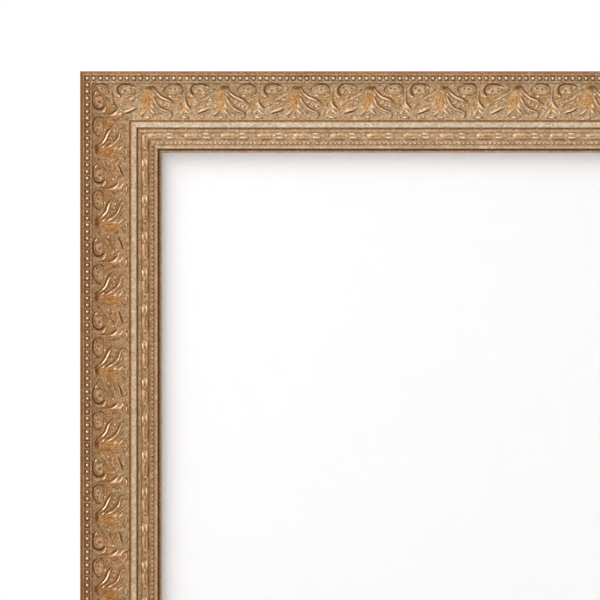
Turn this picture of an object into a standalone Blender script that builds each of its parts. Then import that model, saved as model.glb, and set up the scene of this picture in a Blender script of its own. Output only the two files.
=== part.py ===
# Ornate picture frame in a vintage style, made up with glass, a blank insert and a backing board.
# X runs to the right, Z up, and the front faces -Y. The origin is the centre of the wall plane.

import math

import bmesh
import bpy
from mathutils import Euler, Vector
from mathutils.geometry import delaunay_2d_cdt

MM = 0.001

# Picture, rabbet and the stack behind the lip
PICTURE_WIDTH = 304.8 * MM
PICTURE_HEIGHT = 406.4 * MM
PICTURE_PLAY = 1.6 * MM
RABBET_WIDTH = 6.35 * MM
GLASS_THICKNESS = 2.0 * MM
INSERT_THICKNESS = 1.5 * MM
BACKING_THICKNESS = 5.0 * MM
GAP = 0.3 * MM

# Widths of the moulding's members, from the outer edge inward
RIM_WIDTH = 2.5 * MM
BEAD_SEAT_WIDTH = 3.7 * MM
OUTER_FILLET_WIDTH = 1.4 * MM
FRIEZE_WIDTH = 23.1 * MM
GROOVE_WIDTH = 1.2 * MM
PALE_FILLET_WIDTH = 3.3 * MM
INNER_FLAT_WIDTH = 1.8 * MM
COURSE_WIDTH = 8.3 * MM
BAND_WIDTH = 1.8 * MM
SIGHT_GROOVE_WIDTH = 1.1 * MM
LIP_WIDTH = 1.4 * MM

# Heights of the members above the back plane of the moulding
RIM_HEIGHT = 27.4 * MM
BEAD_GROUND_HEIGHT = 25.6 * MM
OUTER_FILLET_HEIGHT = 26.6 * MM
FRIEZE_OUTER_HEIGHT = 25.2 * MM
FRIEZE_INNER_HEIGHT = 17.4 * MM
COVE_DEPTH = 2.0 * MM
GROOVE_HEIGHT = 16.0 * MM
PALE_FILLET_HEIGHT = 18.8 * MM
INNER_FLAT_HEIGHT = 17.0 * MM
COURSE_GROUND_HEIGHT = 15.8 * MM
BAND_HEIGHT = 16.3 * MM
SIGHT_GROOVE_HEIGHT = 13.8 * MM
LIP_HEIGHT = 15.2 * MM
RIM_ROUND = 1.8 * MM
EDGE_ROUND = 0.4 * MM
STRIP_BASE = 1.4 * MM

# Ornament
FRIEZE_PITCH = 46.1 * MM
FRIEZE_RELIEF = 1.6 * MM
FIRST_PALMETTE = 43.1 * MM
LEFT_LAST_PALMETTE = 50.8 * MM
BEAD_PITCH = 4.17 * MM
BEAD_RISE = 1.7 * MM
COURSE_PITCH = 22.7 * MM
COURSE_RELIEF = 1.6 * MM
COVE_STEPS = 6

# Corner wedges driven in from behind
WEDGE_LEG = 7.0 * MM
WEDGE_SHEET = 0.6 * MM
WEDGE_DEPTH = 9.0 * MM
WEDGE_SINK = 0.4 * MM
WEDGE_OUTER_POSITION = 11.0 * MM
WEDGE_INNER_POSITION = 27.0 * MM

# Turn buttons
BUTTON_THICKNESS = 1.2 * MM
BUTTON_END_RADIUS = 5.5 * MM
BUTTON_TIP_RADIUS = 4.0 * MM
BUTTON_REACH = 17.0 * MM
BUTTON_TIP_LIFT = 1.0 * MM
BUTTON_INSET = 9.0 * MM
SIDE_BUTTON_SPACING = 190.0 * MM

# Screws
SHANK_RADIUS = 1.4 * MM
SHANK_LENGTH = 11.0 * MM
HEAD_RADIUS = 3.1 * MM
HEAD_HEIGHT = 1.7 * MM
POINT_LENGTH = 3.0 * MM

# Hangers
STRAP_WIDTH = 10.0 * MM
STRAP_SHEET = 1.2 * MM
STRAP_SCREW_DROP = 19.0 * MM
RING_WIRE_RADIUS = 1.1 * MM
RING_LEG = 5.0 * MM
HANGER_INSET = 22.0 * MM
HANGER_DROP = 96.0 * MM

# Wall bumpers
BUMPER_RADIUS = 5.0 * MM
BUMPER_INSET = 18.0 * MM
BUMPER_FROM_CORNER = 46.0 * MM
WALL_DISTANCE = 6.0 * MM

# Sizes worked out from those above
BEAD_START = RIM_WIDTH
OUTER_FILLET_START = BEAD_START + BEAD_SEAT_WIDTH
FRIEZE_START = OUTER_FILLET_START + OUTER_FILLET_WIDTH
FRIEZE_END = FRIEZE_START + FRIEZE_WIDTH
PALE_FILLET_START = FRIEZE_END + GROOVE_WIDTH
PALE_FILLET_END = PALE_FILLET_START + PALE_FILLET_WIDTH
FLAT_START = PALE_FILLET_END + GROOVE_WIDTH
COURSE_START = FLAT_START + INNER_FLAT_WIDTH
COURSE_END = COURSE_START + COURSE_WIDTH
BAND_END = COURSE_END + BAND_WIDTH
LIP_START = BAND_END + SIGHT_GROOVE_WIDTH
MOULDING_WIDTH = LIP_START + LIP_WIDTH
RABBET_WALL = MOULDING_WIDTH - RABBET_WIDTH
RABBET_DEPTH = GLASS_THICKNESS + INSERT_THICKNESS + BACKING_THICKNESS + 3 * GAP
OUTER_WIDTH = PICTURE_WIDTH + 2 * PICTURE_PLAY + 2 * RABBET_WALL
OUTER_HEIGHT = PICTURE_HEIGHT + 2 * PICTURE_PLAY + 2 * RABBET_WALL
BACK_PLANE = -WALL_DISTANCE
MITRE_OFFSET = GAP / 2 * math.sqrt(2)
LOOP_INNER = RING_WIRE_RADIUS + GAP
LOOP_OUTER = LOOP_INNER + STRAP_SHEET
RING_HALF = STRAP_WIDTH / 2 + GAP + RING_WIRE_RADIUS
HINGE_LIFT = GAP + LOOP_OUTER

# Each side: turn about Y, length, and where its outer edge stands. Sides run clockwise from the front.
SIDES = {
    "top": (0.0, OUTER_WIDTH, (0.0, OUTER_HEIGHT / 2)),
    "right": (math.pi / 2, OUTER_HEIGHT, (OUTER_WIDTH / 2, 0.0)),
    "bottom": (math.pi, OUTER_WIDTH, (0.0, -OUTER_HEIGHT / 2)),
    "left": (-math.pi / 2, OUTER_HEIGHT, (-OUTER_WIDTH / 2, 0.0)),
}
CORNERS = {"top": "top_left", "right": "top_right", "bottom": "bottom_right", "left": "bottom_left"}
PREVIOUS_SIDE = {"top": "left", "right": "top", "bottom": "right", "left": "bottom"}


def clear_objects():
    for existing in list(bpy.data.objects):
        bpy.data.objects.remove(existing, do_unlink=True)


def make_material(name, colour, metallic, roughness, alpha=1.0):
    material = bpy.data.materials.new(name)
    material.use_nodes = True
    shader = material.node_tree.nodes["Principled BSDF"]
    shader.inputs["Base Color"].default_value = (*colour, 1.0)
    shader.inputs["Metallic"].default_value = metallic
    shader.inputs["Roughness"].default_value = roughness
    shader.inputs["Alpha"].default_value = alpha
    return material


def finish_mesh(name, shape, material):
    bmesh.ops.recalc_face_normals(shape, faces=shape.faces[:])
    mesh = bpy.data.meshes.new(name)
    shape.to_mesh(mesh)
    shape.free()
    made = bpy.data.objects.new(name, mesh)
    bpy.context.scene.collection.objects.link(made)
    if material is not None:
        mesh.materials.append(material)
    return made


def seat(piece, side, along, inward, lift):
    # Sets a piece on a side: along its length, inward from its outer edge and lifted off the back plane.
    turn, length, (edge_x, edge_z) = SIDES[side]
    rotation = Euler((0.0, turn, 0.0))
    offset = Vector((along, lift, -inward))
    offset.rotate(rotation)
    piece.location = Vector((edge_x, BACK_PLANE, edge_z)) + offset
    piece.rotation_euler = rotation


def cut(piece, cutter):
    cutter.hide_render = True
    cutter.display_type = "WIRE"
    modifier = piece.modifiers.new("cut " + cutter.name, "BOOLEAN")
    modifier.operation = "DIFFERENCE"
    modifier.solver = "EXACT"
    modifier.object = cutter


def add_prism(shape, outline, start, end):
    # An outline in X and Z, pushed along Y from start to end.
    corners = [shape.verts.new((x, start, z)) for x, z in outline]
    face = shape.faces.new(corners)
    grown = bmesh.ops.extrude_face_region(shape, geom=[face])
    moved = [item for item in grown["geom"] if isinstance(item, bmesh.types.BMVert)]
    bmesh.ops.translate(shape, vec=(0.0, end - start, 0.0), verts=moved)


def add_turned(shape, profile, steps):
    # A profile of radius and Y, turned about the Y axis.
    points = [shape.verts.new((radius, y, 0.0)) for radius, y in profile]
    edges = [shape.edges.new(pair) for pair in zip(points, points[1:])]
    bmesh.ops.spin(shape, geom=points + edges, cent=(0, 0, 0), axis=(0, 1, 0),
                   dvec=(0, 0, 0), angle=2 * math.pi, steps=steps, use_merge=True)
    bmesh.ops.remove_doubles(shape, verts=shape.verts[:], dist=1e-7)


def arc(centre, radius, start, end, steps):
    angles = [start + (end - start) * step / steps for step in range(steps + 1)]
    return [(centre[0] + radius * math.cos(a), centre[1] + radius * math.sin(a)) for a in angles]


def cove_height(share):
    # Height of the frieze's ground, a share of its width in from the outer edge.
    straight = FRIEZE_OUTER_HEIGHT + (FRIEZE_INNER_HEIGHT - FRIEZE_OUTER_HEIGHT) * share
    return straight - 4 * COVE_DEPTH * share * (1 - share)


def moulding_profile():
    # The wooden moulding's section: distance in from the outer edge, and height above the back plane.
    bead_bed = BEAD_GROUND_HEIGHT - STRIP_BASE - GAP
    course_bed = COURSE_GROUND_HEIGHT - STRIP_BASE - GAP
    section = [(0.0, 0.0)]
    rim = arc((RIM_ROUND, RIM_HEIGHT - RIM_ROUND), RIM_ROUND, math.pi, math.pi / 2, 3)
    section += rim
    section += [(RIM_WIDTH, RIM_HEIGHT), (RIM_WIDTH, bead_bed), (OUTER_FILLET_START, bead_bed)]
    section += [(OUTER_FILLET_START, OUTER_FILLET_HEIGHT), (FRIEZE_START, OUTER_FILLET_HEIGHT)]
    for step in range(COVE_STEPS + 1):
        share = step / COVE_STEPS
        section.append((FRIEZE_START + FRIEZE_WIDTH * share, cove_height(share) - STRIP_BASE - GAP))
    section += [(FRIEZE_END, GROOVE_HEIGHT), (PALE_FILLET_START, GROOVE_HEIGHT)]
    section += [(PALE_FILLET_START, PALE_FILLET_HEIGHT - EDGE_ROUND)]
    section += [(PALE_FILLET_START + EDGE_ROUND, PALE_FILLET_HEIGHT)]
    section += [(PALE_FILLET_END - EDGE_ROUND, PALE_FILLET_HEIGHT)]
    section += [(PALE_FILLET_END, PALE_FILLET_HEIGHT - EDGE_ROUND)]
    section += [(PALE_FILLET_END, GROOVE_HEIGHT), (FLAT_START, GROOVE_HEIGHT)]
    section += [(FLAT_START, INNER_FLAT_HEIGHT), (COURSE_START, INNER_FLAT_HEIGHT)]
    section += [(COURSE_START, course_bed), (COURSE_END, course_bed)]
    section += [(COURSE_END, BAND_HEIGHT), (BAND_END, BAND_HEIGHT)]
    section += [(BAND_END, SIGHT_GROOVE_HEIGHT), (LIP_START, SIGHT_GROOVE_HEIGHT)]
    section += [(LIP_START, LIP_HEIGHT - EDGE_ROUND), (LIP_START + EDGE_ROUND, LIP_HEIGHT)]
    section += [(MOULDING_WIDTH - EDGE_ROUND, LIP_HEIGHT), (MOULDING_WIDTH, LIP_HEIGHT - EDGE_ROUND)]
    section += [(MOULDING_WIDTH, RABBET_DEPTH), (RABBET_WALL, RABBET_DEPTH), (RABBET_WALL, 0.0)]
    return section


def build_rail(side, material):
    turn, length, edge = SIDES[side]
    shape = bmesh.new()
    section = moulding_profile()
    ends = []
    for sign in (-1, 1):
        reach = length / 2 - MITRE_OFFSET
        ends.append([shape.verts.new((sign * (reach - d), -h, -d)) for d, h in section])
    count = len(section)
    for index in range(count):
        after = (index + 1) % count
        shape.faces.new((ends[0][index], ends[0][after], ends[1][after], ends[1][index]))
    shape.faces.new(ends[0])
    shape.faces.new(ends[1])
    rail = finish_mesh("rail_" + side, shape, material)
    seat(rail, side, 0.0, 0.0, 0.0)
    return rail


class Drawing:
    # One repeat of an ornament, drawn flat: outlines lie on the ground and crests stand above it.
    def __init__(self):
        self.points = []
        self.rises = []
        self.lines = []

    def chain(self, points, rises, closed):
        first = len(self.points)
        self.points += [Vector(point) for point in points]
        self.rises += rises
        count = len(points)
        for step in range(count if closed else count - 1):
            self.lines.append((first + step, first + (step + 1) % count))

    def form(self, outline, crest, mirrored):
        # A carved form: its closed outline, and the line of its crest as along, across and rise.
        for sign in (1, -1) if mirrored else (1,):
            self.chain([(sign * u, v) for u, v in outline], [0.0] * len(outline), True)
            self.chain([(sign * u, v) for u, v, rise in crest], [rise for u, v, rise in crest], False)

    def triangles(self):
        points, lines, faces, origins = delaunay_2d_cdt(self.points, self.lines, [], 0, 1e-6)[:4]
        if len(points) != len(self.points):
            raise ValueError("two lines of an ornament cross or share a point")
        rises = [self.rises[origin[0]] for origin in origins]
        return points, rises, faces


def oval(centre, half_along, half_across, steps, start):
    angles = [start + 2 * math.pi * step / steps for step in range(steps)]
    return [(centre[0] + half_along * math.cos(a), centre[1] + half_across * math.sin(a)) for a in angles]


def draw_frieze():
    # Drawn in millimetres on a repeat 46.2 long and 22.5 across, about the palmette's axis.
    drawing = Drawing()
    half = 23.1
    body = [(0, 1.0), (2.2, 2.8), (3.6, 9.5), (2.6, 16.4), (0, 20.8)]
    body += [(-u, v) for u, v in body[-2:0:-1]]
    drawing.form(body, [(0, 3.2, 0.65), (0, 10.5, 1.0), (0, 17.0, 0.75)], False)
    drawing.form([(4.3, 5.0), (10.6, 7.2), (18.6, 13.4), (9.2, 10.2)],
                 [(6.6, 6.9, 0.7), (12.2, 9.8, 0.75)], True)
    drawing.form([(4.5, 10.8), (9.8, 13.8), (16.6, 19.2), (14.0, 21.4), (8.8, 17.2)],
                 [(7.6, 14.2, 0.65), (13.6, 18.7, 0.75)], True)
    for sign in (1, -1):
        eye = (sign * 15.6, 4.5)
        drawing.chain(oval(eye, 5.7, 3.5, 6, 0.0), [0.0] * 6, True)
        drawing.chain(oval(eye, 3.6, 2.1, 4, math.pi / 4), [0.65] * 4, True)
        drawing.chain([eye], [0.1], False)
        drop = [(22.4, 1.8), (22.3, 10.4), (19.2, 15.6), (20.6, 18.8)]
        drawing.chain([(sign * u, v) for u, v in drop], [0.0] * 4, False)
        drawing.chain([(sign * 20.9, 15.6)], [0.5], False)
        across = [0, 1.0, 2.6, 10.2, 16.0, 20.0, 22.5]
        rises = [0, 0, 0.5, 0.5, 0.65, 0, 0]
        drawing.chain([(sign * half, v) for v in across], rises, False)
    return drawing, 2 * half, 22.5


def draw_course():
    # Drawn in millimetres on a repeat 22.7 long and 7.7 across: a husk, a reel and a plain rod beside them.
    drawing = Drawing()
    half = 11.35
    husk = [(-10.4, 1.95), (-5.6, 0.3), (0.2, 1.2), (0.2, 2.7), (-5.6, 3.6)]
    drawing.form(husk, [(-3.4, 1.95, 1.0)], False)
    reel = [(1.6, 0.4), (7.4, 0.4), (7.4, 3.5), (1.6, 3.5)]
    drawing.form(reel, [(4.5, 1.95, 0.85)], False)
    for sign in (1, -1):
        across = [0, 5.0, 6.1, 7.2, 7.7]
        drawing.chain([(sign * half, v) for v in across], [0, 0, 0.55, 0, 0], False)
    for v, rise in ((5.0, 0.0), (6.1, 0.55), (7.2, 0.0)):
        drawing.lines.append((drawing.points.index(Vector((half, v))), drawing.points.index(Vector((-half, v)))))
    return drawing, 2 * half, 7.7


def draw_beads():
    # Drawn in millimetres on a repeat of one bead, 4.17 long and 3.1 across, crest in the middle.
    drawing = Drawing()
    half = 2.085
    for end in (-half, half):
        drawing.chain([(end, 0), (end, 1.55), (end, 3.1)], [0, 0.15, 0], False)
    drawing.chain([(0, 1.55)], [1.0], False)
    return drawing, 2 * half, 3.1


def build_strip(name, side, drawn, start, width, pitch, relief, ground, phase, material):
    # A strip of pressed ornament, drawn once, repeated along a side, closed below and mitred at both ends.
    turn, length, edge = SIDES[side]
    drawing, drawn_length, drawn_width = drawn
    points, rises, faces = drawing.triangles()
    strip_start = start + GAP
    strip_width = width - 2 * GAP
    shape = bmesh.new()
    first = math.floor((-length / 2 - phase) / pitch)
    last = math.ceil((length / 2 - phase) / pitch)
    for repeat in range(first, last + 1):
        verts = []
        for point, rise in zip(points, rises):
            share = point.y / drawn_width
            x = phase + repeat * pitch + point.x * pitch / drawn_length
            verts.append(shape.verts.new((x, -ground(share) - rise * relief, -strip_start - strip_width * share)))
        for face in faces:
            shape.faces.new([verts[index] for index in face])
    bmesh.ops.remove_doubles(shape, verts=shape.verts[:], dist=1e-6)
    close_below(shape, strip_start, strip_width, ground)
    for sign in (-1, 1):
        corner = Vector((sign * (length / 2 - MITRE_OFFSET), 0, 0))
        bmesh.ops.bisect_plane(shape, geom=shape.verts[:] + shape.edges[:] + shape.faces[:], dist=1e-7,
                               plane_co=corner, plane_no=(sign, 0, -1), clear_outer=True)
        rim = [line for line in shape.edges if len(line.link_faces) == 1]
        bmesh.ops.holes_fill(shape, edges=rim, sides=0)
    strip = finish_mesh(name + "_" + side, shape, material)
    seat(strip, side, 0.0, 0.0, 0.0)
    return strip


def close_below(shape, strip_start, strip_width, ground):
    # Gives an open strip its underside, which lies on the bed, and its four walls.
    shape.verts.ensure_lookup_table()
    low = min(vert.co.x for vert in shape.verts)
    high = max(vert.co.x for vert in shape.verts)
    tops = {"outer": [], "inner": [], "low": [], "high": []}
    for vert in shape.verts:
        if abs(vert.co.z + strip_start) < 1e-7:
            tops["outer"].append(vert)
        if abs(vert.co.z + strip_start + strip_width) < 1e-7:
            tops["inner"].append(vert)
        if abs(vert.co.x - low) < 1e-7:
            tops["low"].append(vert)
        if abs(vert.co.x - high) < 1e-7:
            tops["high"].append(vert)
    under = []
    for x in (low, high):
        row = []
        for step in range(COVE_STEPS + 1):
            share = step / COVE_STEPS
            row.append(shape.verts.new((x, STRIP_BASE - ground(share), -strip_start - strip_width * share)))
        under.append(row)
    for step in range(COVE_STEPS):
        shape.faces.new((under[0][step], under[0][step + 1], under[1][step + 1], under[1][step]))
    for key, corner in (("outer", 0), ("inner", COVE_STEPS)):
        line = sorted(tops[key], key=lambda vert: vert.co.x)
        shape.faces.new(line + [under[1][corner], under[0][corner]])
    for key, row in (("low", under[0]), ("high", under[1])):
        line = sorted(tops[key], key=lambda vert: -vert.co.z)
        shape.faces.new(line + row[::-1])


def build_ornament(side, gilt, pale_gilt):
    turn, length, edge = SIDES[side]
    first = FIRST_PALMETTE - length / 2
    if side == "left":
        first = length / 2 - LEFT_LAST_PALMETTE
    build_strip("frieze", side, draw_frieze(), FRIEZE_START, FRIEZE_WIDTH, FRIEZE_PITCH,
                FRIEZE_RELIEF, cove_height, first, gilt)
    build_strip("bead_course", side, draw_beads(), BEAD_START, BEAD_SEAT_WIDTH, BEAD_PITCH,
                BEAD_RISE, lambda share: BEAD_GROUND_HEIGHT, 0.0, pale_gilt)
    build_strip("reel_course", side, draw_course(), COURSE_START, COURSE_WIDTH, COURSE_PITCH,
                COURSE_RELIEF, lambda share: COURSE_GROUND_HEIGHT, 0.0, pale_gilt)


def wedge_outline(position, grow):
    low = position - grow
    thick = position + WEDGE_SHEET + grow
    far = position + WEDGE_LEG + grow
    return [(low, low), (far, low), (far, thick), (thick, thick), (thick, far), (low, far)]


def build_wedges(side, rails, material):
    # Two folded wedges across one mitre, and the slots that they sit in.
    turn, length, edge = SIDES[side]
    slots = bmesh.new()
    for label, position in (("outer", WEDGE_OUTER_POSITION), ("inner", WEDGE_INNER_POSITION)):
        shape = bmesh.new()
        flat = [(u, -v) for u, v in wedge_outline(position, 0.0)]
        add_prism(shape, flat, -WEDGE_SINK, -WEDGE_SINK - WEDGE_DEPTH)
        wedge = finish_mesh("v_nail_" + CORNERS[side] + "_" + label, shape, material)
        seat(wedge, side, -length / 2, 0.0, 0.0)
        roomy = [(u, -v) for u, v in wedge_outline(position, GAP)]
        add_prism(slots, roomy, WALL_DISTANCE / 2, -WEDGE_SINK - WEDGE_DEPTH - GAP)
    cutter = finish_mesh("slots_" + CORNERS[side], slots, None)
    seat(cutter, side, -length / 2, 0.0, 0.0)
    cut(rails[side], cutter)
    cut(rails[PREVIOUS_SIDE[side]], cutter)


def build_screw(name, under_head, material):
    # A screw whose head rests at a given lift above the back plane, with its shank in the rail.
    shape = bmesh.new()
    top = under_head + HEAD_HEIGHT
    profile = [(0.0, -SHANK_LENGTH), (SHANK_RADIUS, POINT_LENGTH - SHANK_LENGTH), (SHANK_RADIUS, under_head)]
    profile += [(HEAD_RADIUS, under_head), (HEAD_RADIUS * 0.92, under_head + HEAD_HEIGHT * 0.5)]
    profile += [(HEAD_RADIUS * 0.6, top - HEAD_HEIGHT * 0.1), (0.0, top)]
    add_turned(shape, profile, 10)
    return finish_mesh(name, shape, material)


def build_pilot(name, rail, side, along, inward):
    shape = bmesh.new()
    profile = [(0.0, -SHANK_LENGTH - GAP), (SHANK_RADIUS + GAP, -SHANK_LENGTH - GAP)]
    profile += [(SHANK_RADIUS + GAP, WALL_DISTANCE / 2), (0.0, WALL_DISTANCE / 2)]
    add_turned(shape, profile, 12)
    cutter = finish_mesh(name, shape, None)
    seat(cutter, side, along, inward, 0.0)
    cut(rail, cutter)


def build_button(name, material):
    # A flat button about its screw, pointing inward, with a tip turned up for the finger.
    shape = bmesh.new()
    bend = -(BUTTON_REACH - BUTTON_TIP_RADIUS)
    round_end = arc((0.0, 0.0), BUTTON_END_RADIUS, 0.0, math.pi, 8)
    plate = round_end + [(-BUTTON_TIP_RADIUS, bend), (BUTTON_TIP_RADIUS, bend)]
    tip = arc((0.0, bend), BUTTON_TIP_RADIUS, math.pi, 2 * math.pi, 6)
    hole = arc((0.0, 0.0), SHANK_RADIUS + GAP, 0.0, 2 * math.pi, 12)[:-1]
    layers = []
    for y in (0.0, BUTTON_THICKNESS):
        lift = [y + BUTTON_TIP_LIFT * (bend - z) / BUTTON_TIP_RADIUS for x, z in tip[1:-1]]
        outer = [shape.verts.new((x, y, z)) for x, z in plate]
        bent = [shape.verts.new((x, up, z)) for (x, z), up in zip(tip[1:-1], lift)]
        inner = [shape.verts.new((x, y, z)) for x, z in hole]
        shape.faces.new([outer[-2]] + bent + [outer[-1]])
        loops = [shape.edges.new(pair) for pair in zip(inner, inner[1:] + inner[:1])]
        border = zip(outer, outer[1:] + outer[:1])
        loops += [shape.edges.get(pair) or shape.edges.new(pair) for pair in border]
        bmesh.ops.triangle_fill(shape, edges=loops, use_beauty=True)
        layers.append((outer[:-1] + bent + outer[-1:], inner))
    for low, high in zip(layers[0], layers[1]):
        for index in range(len(low)):
            after = (index + 1) % len(low)
            shape.faces.new((low[index], low[after], high[after], high[index]))
    return finish_mesh(name, shape, material)


def build_buttons(rails, steel, brass):
    spots = {
        "top": ("top", 0.0),
        "bottom": ("bottom", 0.0),
        "right_upper": ("right", -SIDE_BUTTON_SPACING / 2),
        "right_lower": ("right", SIDE_BUTTON_SPACING / 2),
        "left_upper": ("left", SIDE_BUTTON_SPACING / 2),
        "left_lower": ("left", -SIDE_BUTTON_SPACING / 2),
    }
    inward = RABBET_WALL - BUTTON_INSET
    for label, (side, along) in spots.items():
        button = build_button("turn_button_" + label, steel)
        seat(button, side, along, inward, GAP)
        screw = build_screw("button_screw_" + label, 2 * GAP + BUTTON_THICKNESS, brass)
        seat(screw, side, along, inward, 0.0)
        build_pilot("button_pilot_" + label, rails[side], side, along, inward)


def build_strap(name, material):
    # A strip rolled round the ring's bar. Its origin is on the ring's axis, and its flat runs downward.
    shape = bmesh.new()
    face = STRAP_SHEET - LOOP_OUTER
    tail = -(STRAP_SCREW_DROP + STRAP_WIDTH / 2)
    roll_start = math.pi
    roll_end = math.pi - math.radians(285)
    outer = arc((0.0, 0.0), LOOP_OUTER, roll_start, roll_end, 10)
    inner = arc((0.0, 0.0), LOOP_INNER, roll_end, roll_start, 10)
    section = outer + inner + [(face, tail), (-LOOP_OUTER, tail)]
    low = [shape.verts.new((-STRAP_WIDTH / 2, y, z)) for y, z in section]
    bottom = shape.faces.new(low)
    grown = bmesh.ops.extrude_face_region(shape, geom=[bottom])
    moved = [item for item in grown["geom"] if isinstance(item, bmesh.types.BMVert)]
    bmesh.ops.translate(shape, vec=(STRAP_WIDTH, 0.0, 0.0), verts=moved)
    strap = finish_mesh(name, shape, material)

    trimming = bmesh.new()
    centre = (0.0, -STRAP_SCREW_DROP)
    hole = arc(centre, SHANK_RADIUS + GAP, 0.0, 2 * math.pi, 12)[:-1]
    add_prism(trimming, hole, -2 * LOOP_OUTER, LOOP_OUTER)
    for sign in (-1, 1):
        corner = (sign * STRAP_WIDTH, 2 * tail)
        start = -math.pi / 2
        round_off = arc(centre, STRAP_WIDTH / 2, start, start + sign * math.pi / 2, 5)
        corner_piece = round_off + [(sign * STRAP_WIDTH, -STRAP_SCREW_DROP), corner, (0.0, 2 * tail)]
        add_prism(trimming, corner_piece, -2 * LOOP_OUTER, LOOP_OUTER)
    bmesh.ops.recalc_face_normals(trimming, faces=trimming.faces[:])
    return strap, finish_mesh(name + "_trim", trimming, None)


def build_ring(name, material):
    # A ring bent from wire, its straight bar on the hinge axis, hanging down.
    bend = RING_WIRE_RADIUS * 1.6
    bow = arc((0.0, -RING_LEG), RING_HALF, 0.0, -math.pi, 12)
    left_bend = arc((-RING_HALF + bend, -bend), bend, math.pi, math.pi / 2, 3)
    right_bend = arc((RING_HALF - bend, -bend), bend, math.pi / 2, 0.0, 3)
    path = bow + left_bend + right_bend
    curve = bpy.data.curves.new(name, "CURVE")
    curve.dimensions = "3D"
    curve.bevel_depth = RING_WIRE_RADIUS
    curve.bevel_resolution = 1
    spline = curve.splines.new("POLY")
    spline.points.add(len(path) - 1)
    for point, (x, z) in zip(spline.points, path):
        point.co = (x, 0.0, z, 1.0)
    spline.use_cyclic_u = True
    ring = bpy.data.objects.new(name, curve)
    bpy.context.scene.collection.objects.link(ring)
    curve.materials.append(material)
    return ring


def build_hangers(rails, steel, brass):
    for label, sign in (("left", -1), ("right", 1)):
        x = sign * (OUTER_WIDTH / 2 - HANGER_INSET)
        z = OUTER_HEIGHT / 2 - HANGER_DROP
        axis = Vector((x, BACK_PLANE + HINGE_LIFT, z))
        strap, trim = build_strap("hanger_strap_" + label, steel)
        strap.location = axis
        trim.location = axis
        cut(strap, trim)
        ring = build_ring("hanger_ring_" + label, steel)
        ring.location = axis
        screw = build_screw("hanger_screw_" + label, 2 * GAP + STRAP_SHEET, brass)
        along = sign * (STRAP_SCREW_DROP - z)
        seat(screw, label, along, HANGER_INSET, 0.0)
        build_pilot("hanger_pilot_" + label, rails[label], label, along, HANGER_INSET)


def build_bumpers(material):
    for label, sign in (("left", 1), ("right", -1)):
        shape = bmesh.new()
        edge = BUMPER_RADIUS * 0.15
        profile = [(0.0, GAP), (BUMPER_RADIUS, GAP), (BUMPER_RADIUS * 0.94, WALL_DISTANCE - edge)]
        profile += [(BUMPER_RADIUS * 0.94 - edge, WALL_DISTANCE), (0.0, WALL_DISTANCE)]
        add_turned(shape, profile, 16)
        bumper = finish_mesh("bumper_" + label, shape, material)
        seat(bumper, "bottom", sign * (OUTER_WIDTH / 2 - BUMPER_FROM_CORNER), BUMPER_INSET, 0.0)


def build_sheet(name, thickness, front_height, material):
    # A flat sheet of the picture's size, its front at a given height above the back plane.
    shape = bmesh.new()
    half_x = PICTURE_WIDTH / 2
    half_z = PICTURE_HEIGHT / 2
    outline = [(-half_x, -half_z), (half_x, -half_z), (half_x, half_z), (-half_x, half_z)]
    add_prism(shape, outline, BACK_PLANE - front_height, BACK_PLANE - front_height + thickness)
    return finish_mesh(name, shape, material)


def build_frame():
    clear_objects()
    gilt = make_material("antique_gilt", (0.47, 0.27, 0.12), 0.55, 0.42)
    pale_gilt = make_material("pale_gilt", (0.56, 0.38, 0.22), 0.55, 0.38)
    wood_gilt = make_material("gilded_wood", (0.52, 0.33, 0.17), 0.45, 0.45)
    steel = make_material("zinc_plated_steel", (0.62, 0.62, 0.6), 1.0, 0.35)
    brass = make_material("brassed_steel", (0.72, 0.52, 0.2), 1.0, 0.35)
    rubber = make_material("clear_rubber", (0.25, 0.25, 0.25), 0.0, 0.6)
    glass = make_material("clear_glass", (0.95, 0.97, 0.96), 0.0, 0.03, 0.15)
    paper = make_material("white_board", (0.9, 0.89, 0.88), 0.0, 0.8)
    fibre = make_material("brown_fibreboard", (0.3, 0.19, 0.1), 0.0, 0.8)

    rails = {side: build_rail(side, wood_gilt) for side in SIDES}
    for side in SIDES:
        build_ornament(side, gilt, pale_gilt)
        build_wedges(side, rails, steel)
    build_buttons(rails, steel, brass)
    build_hangers(rails, steel, brass)
    build_bumpers(rubber)

    height = RABBET_DEPTH - GAP
    build_sheet("glazing", GLASS_THICKNESS, height, glass)
    height -= GLASS_THICKNESS + GAP
    build_sheet("picture_insert", INSERT_THICKNESS, height, paper)
    height -= INSERT_THICKNESS + GAP
    build_sheet("backing_board", BACKING_THICKNESS, height, fibre)


build_frame()
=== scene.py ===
import math

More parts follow.
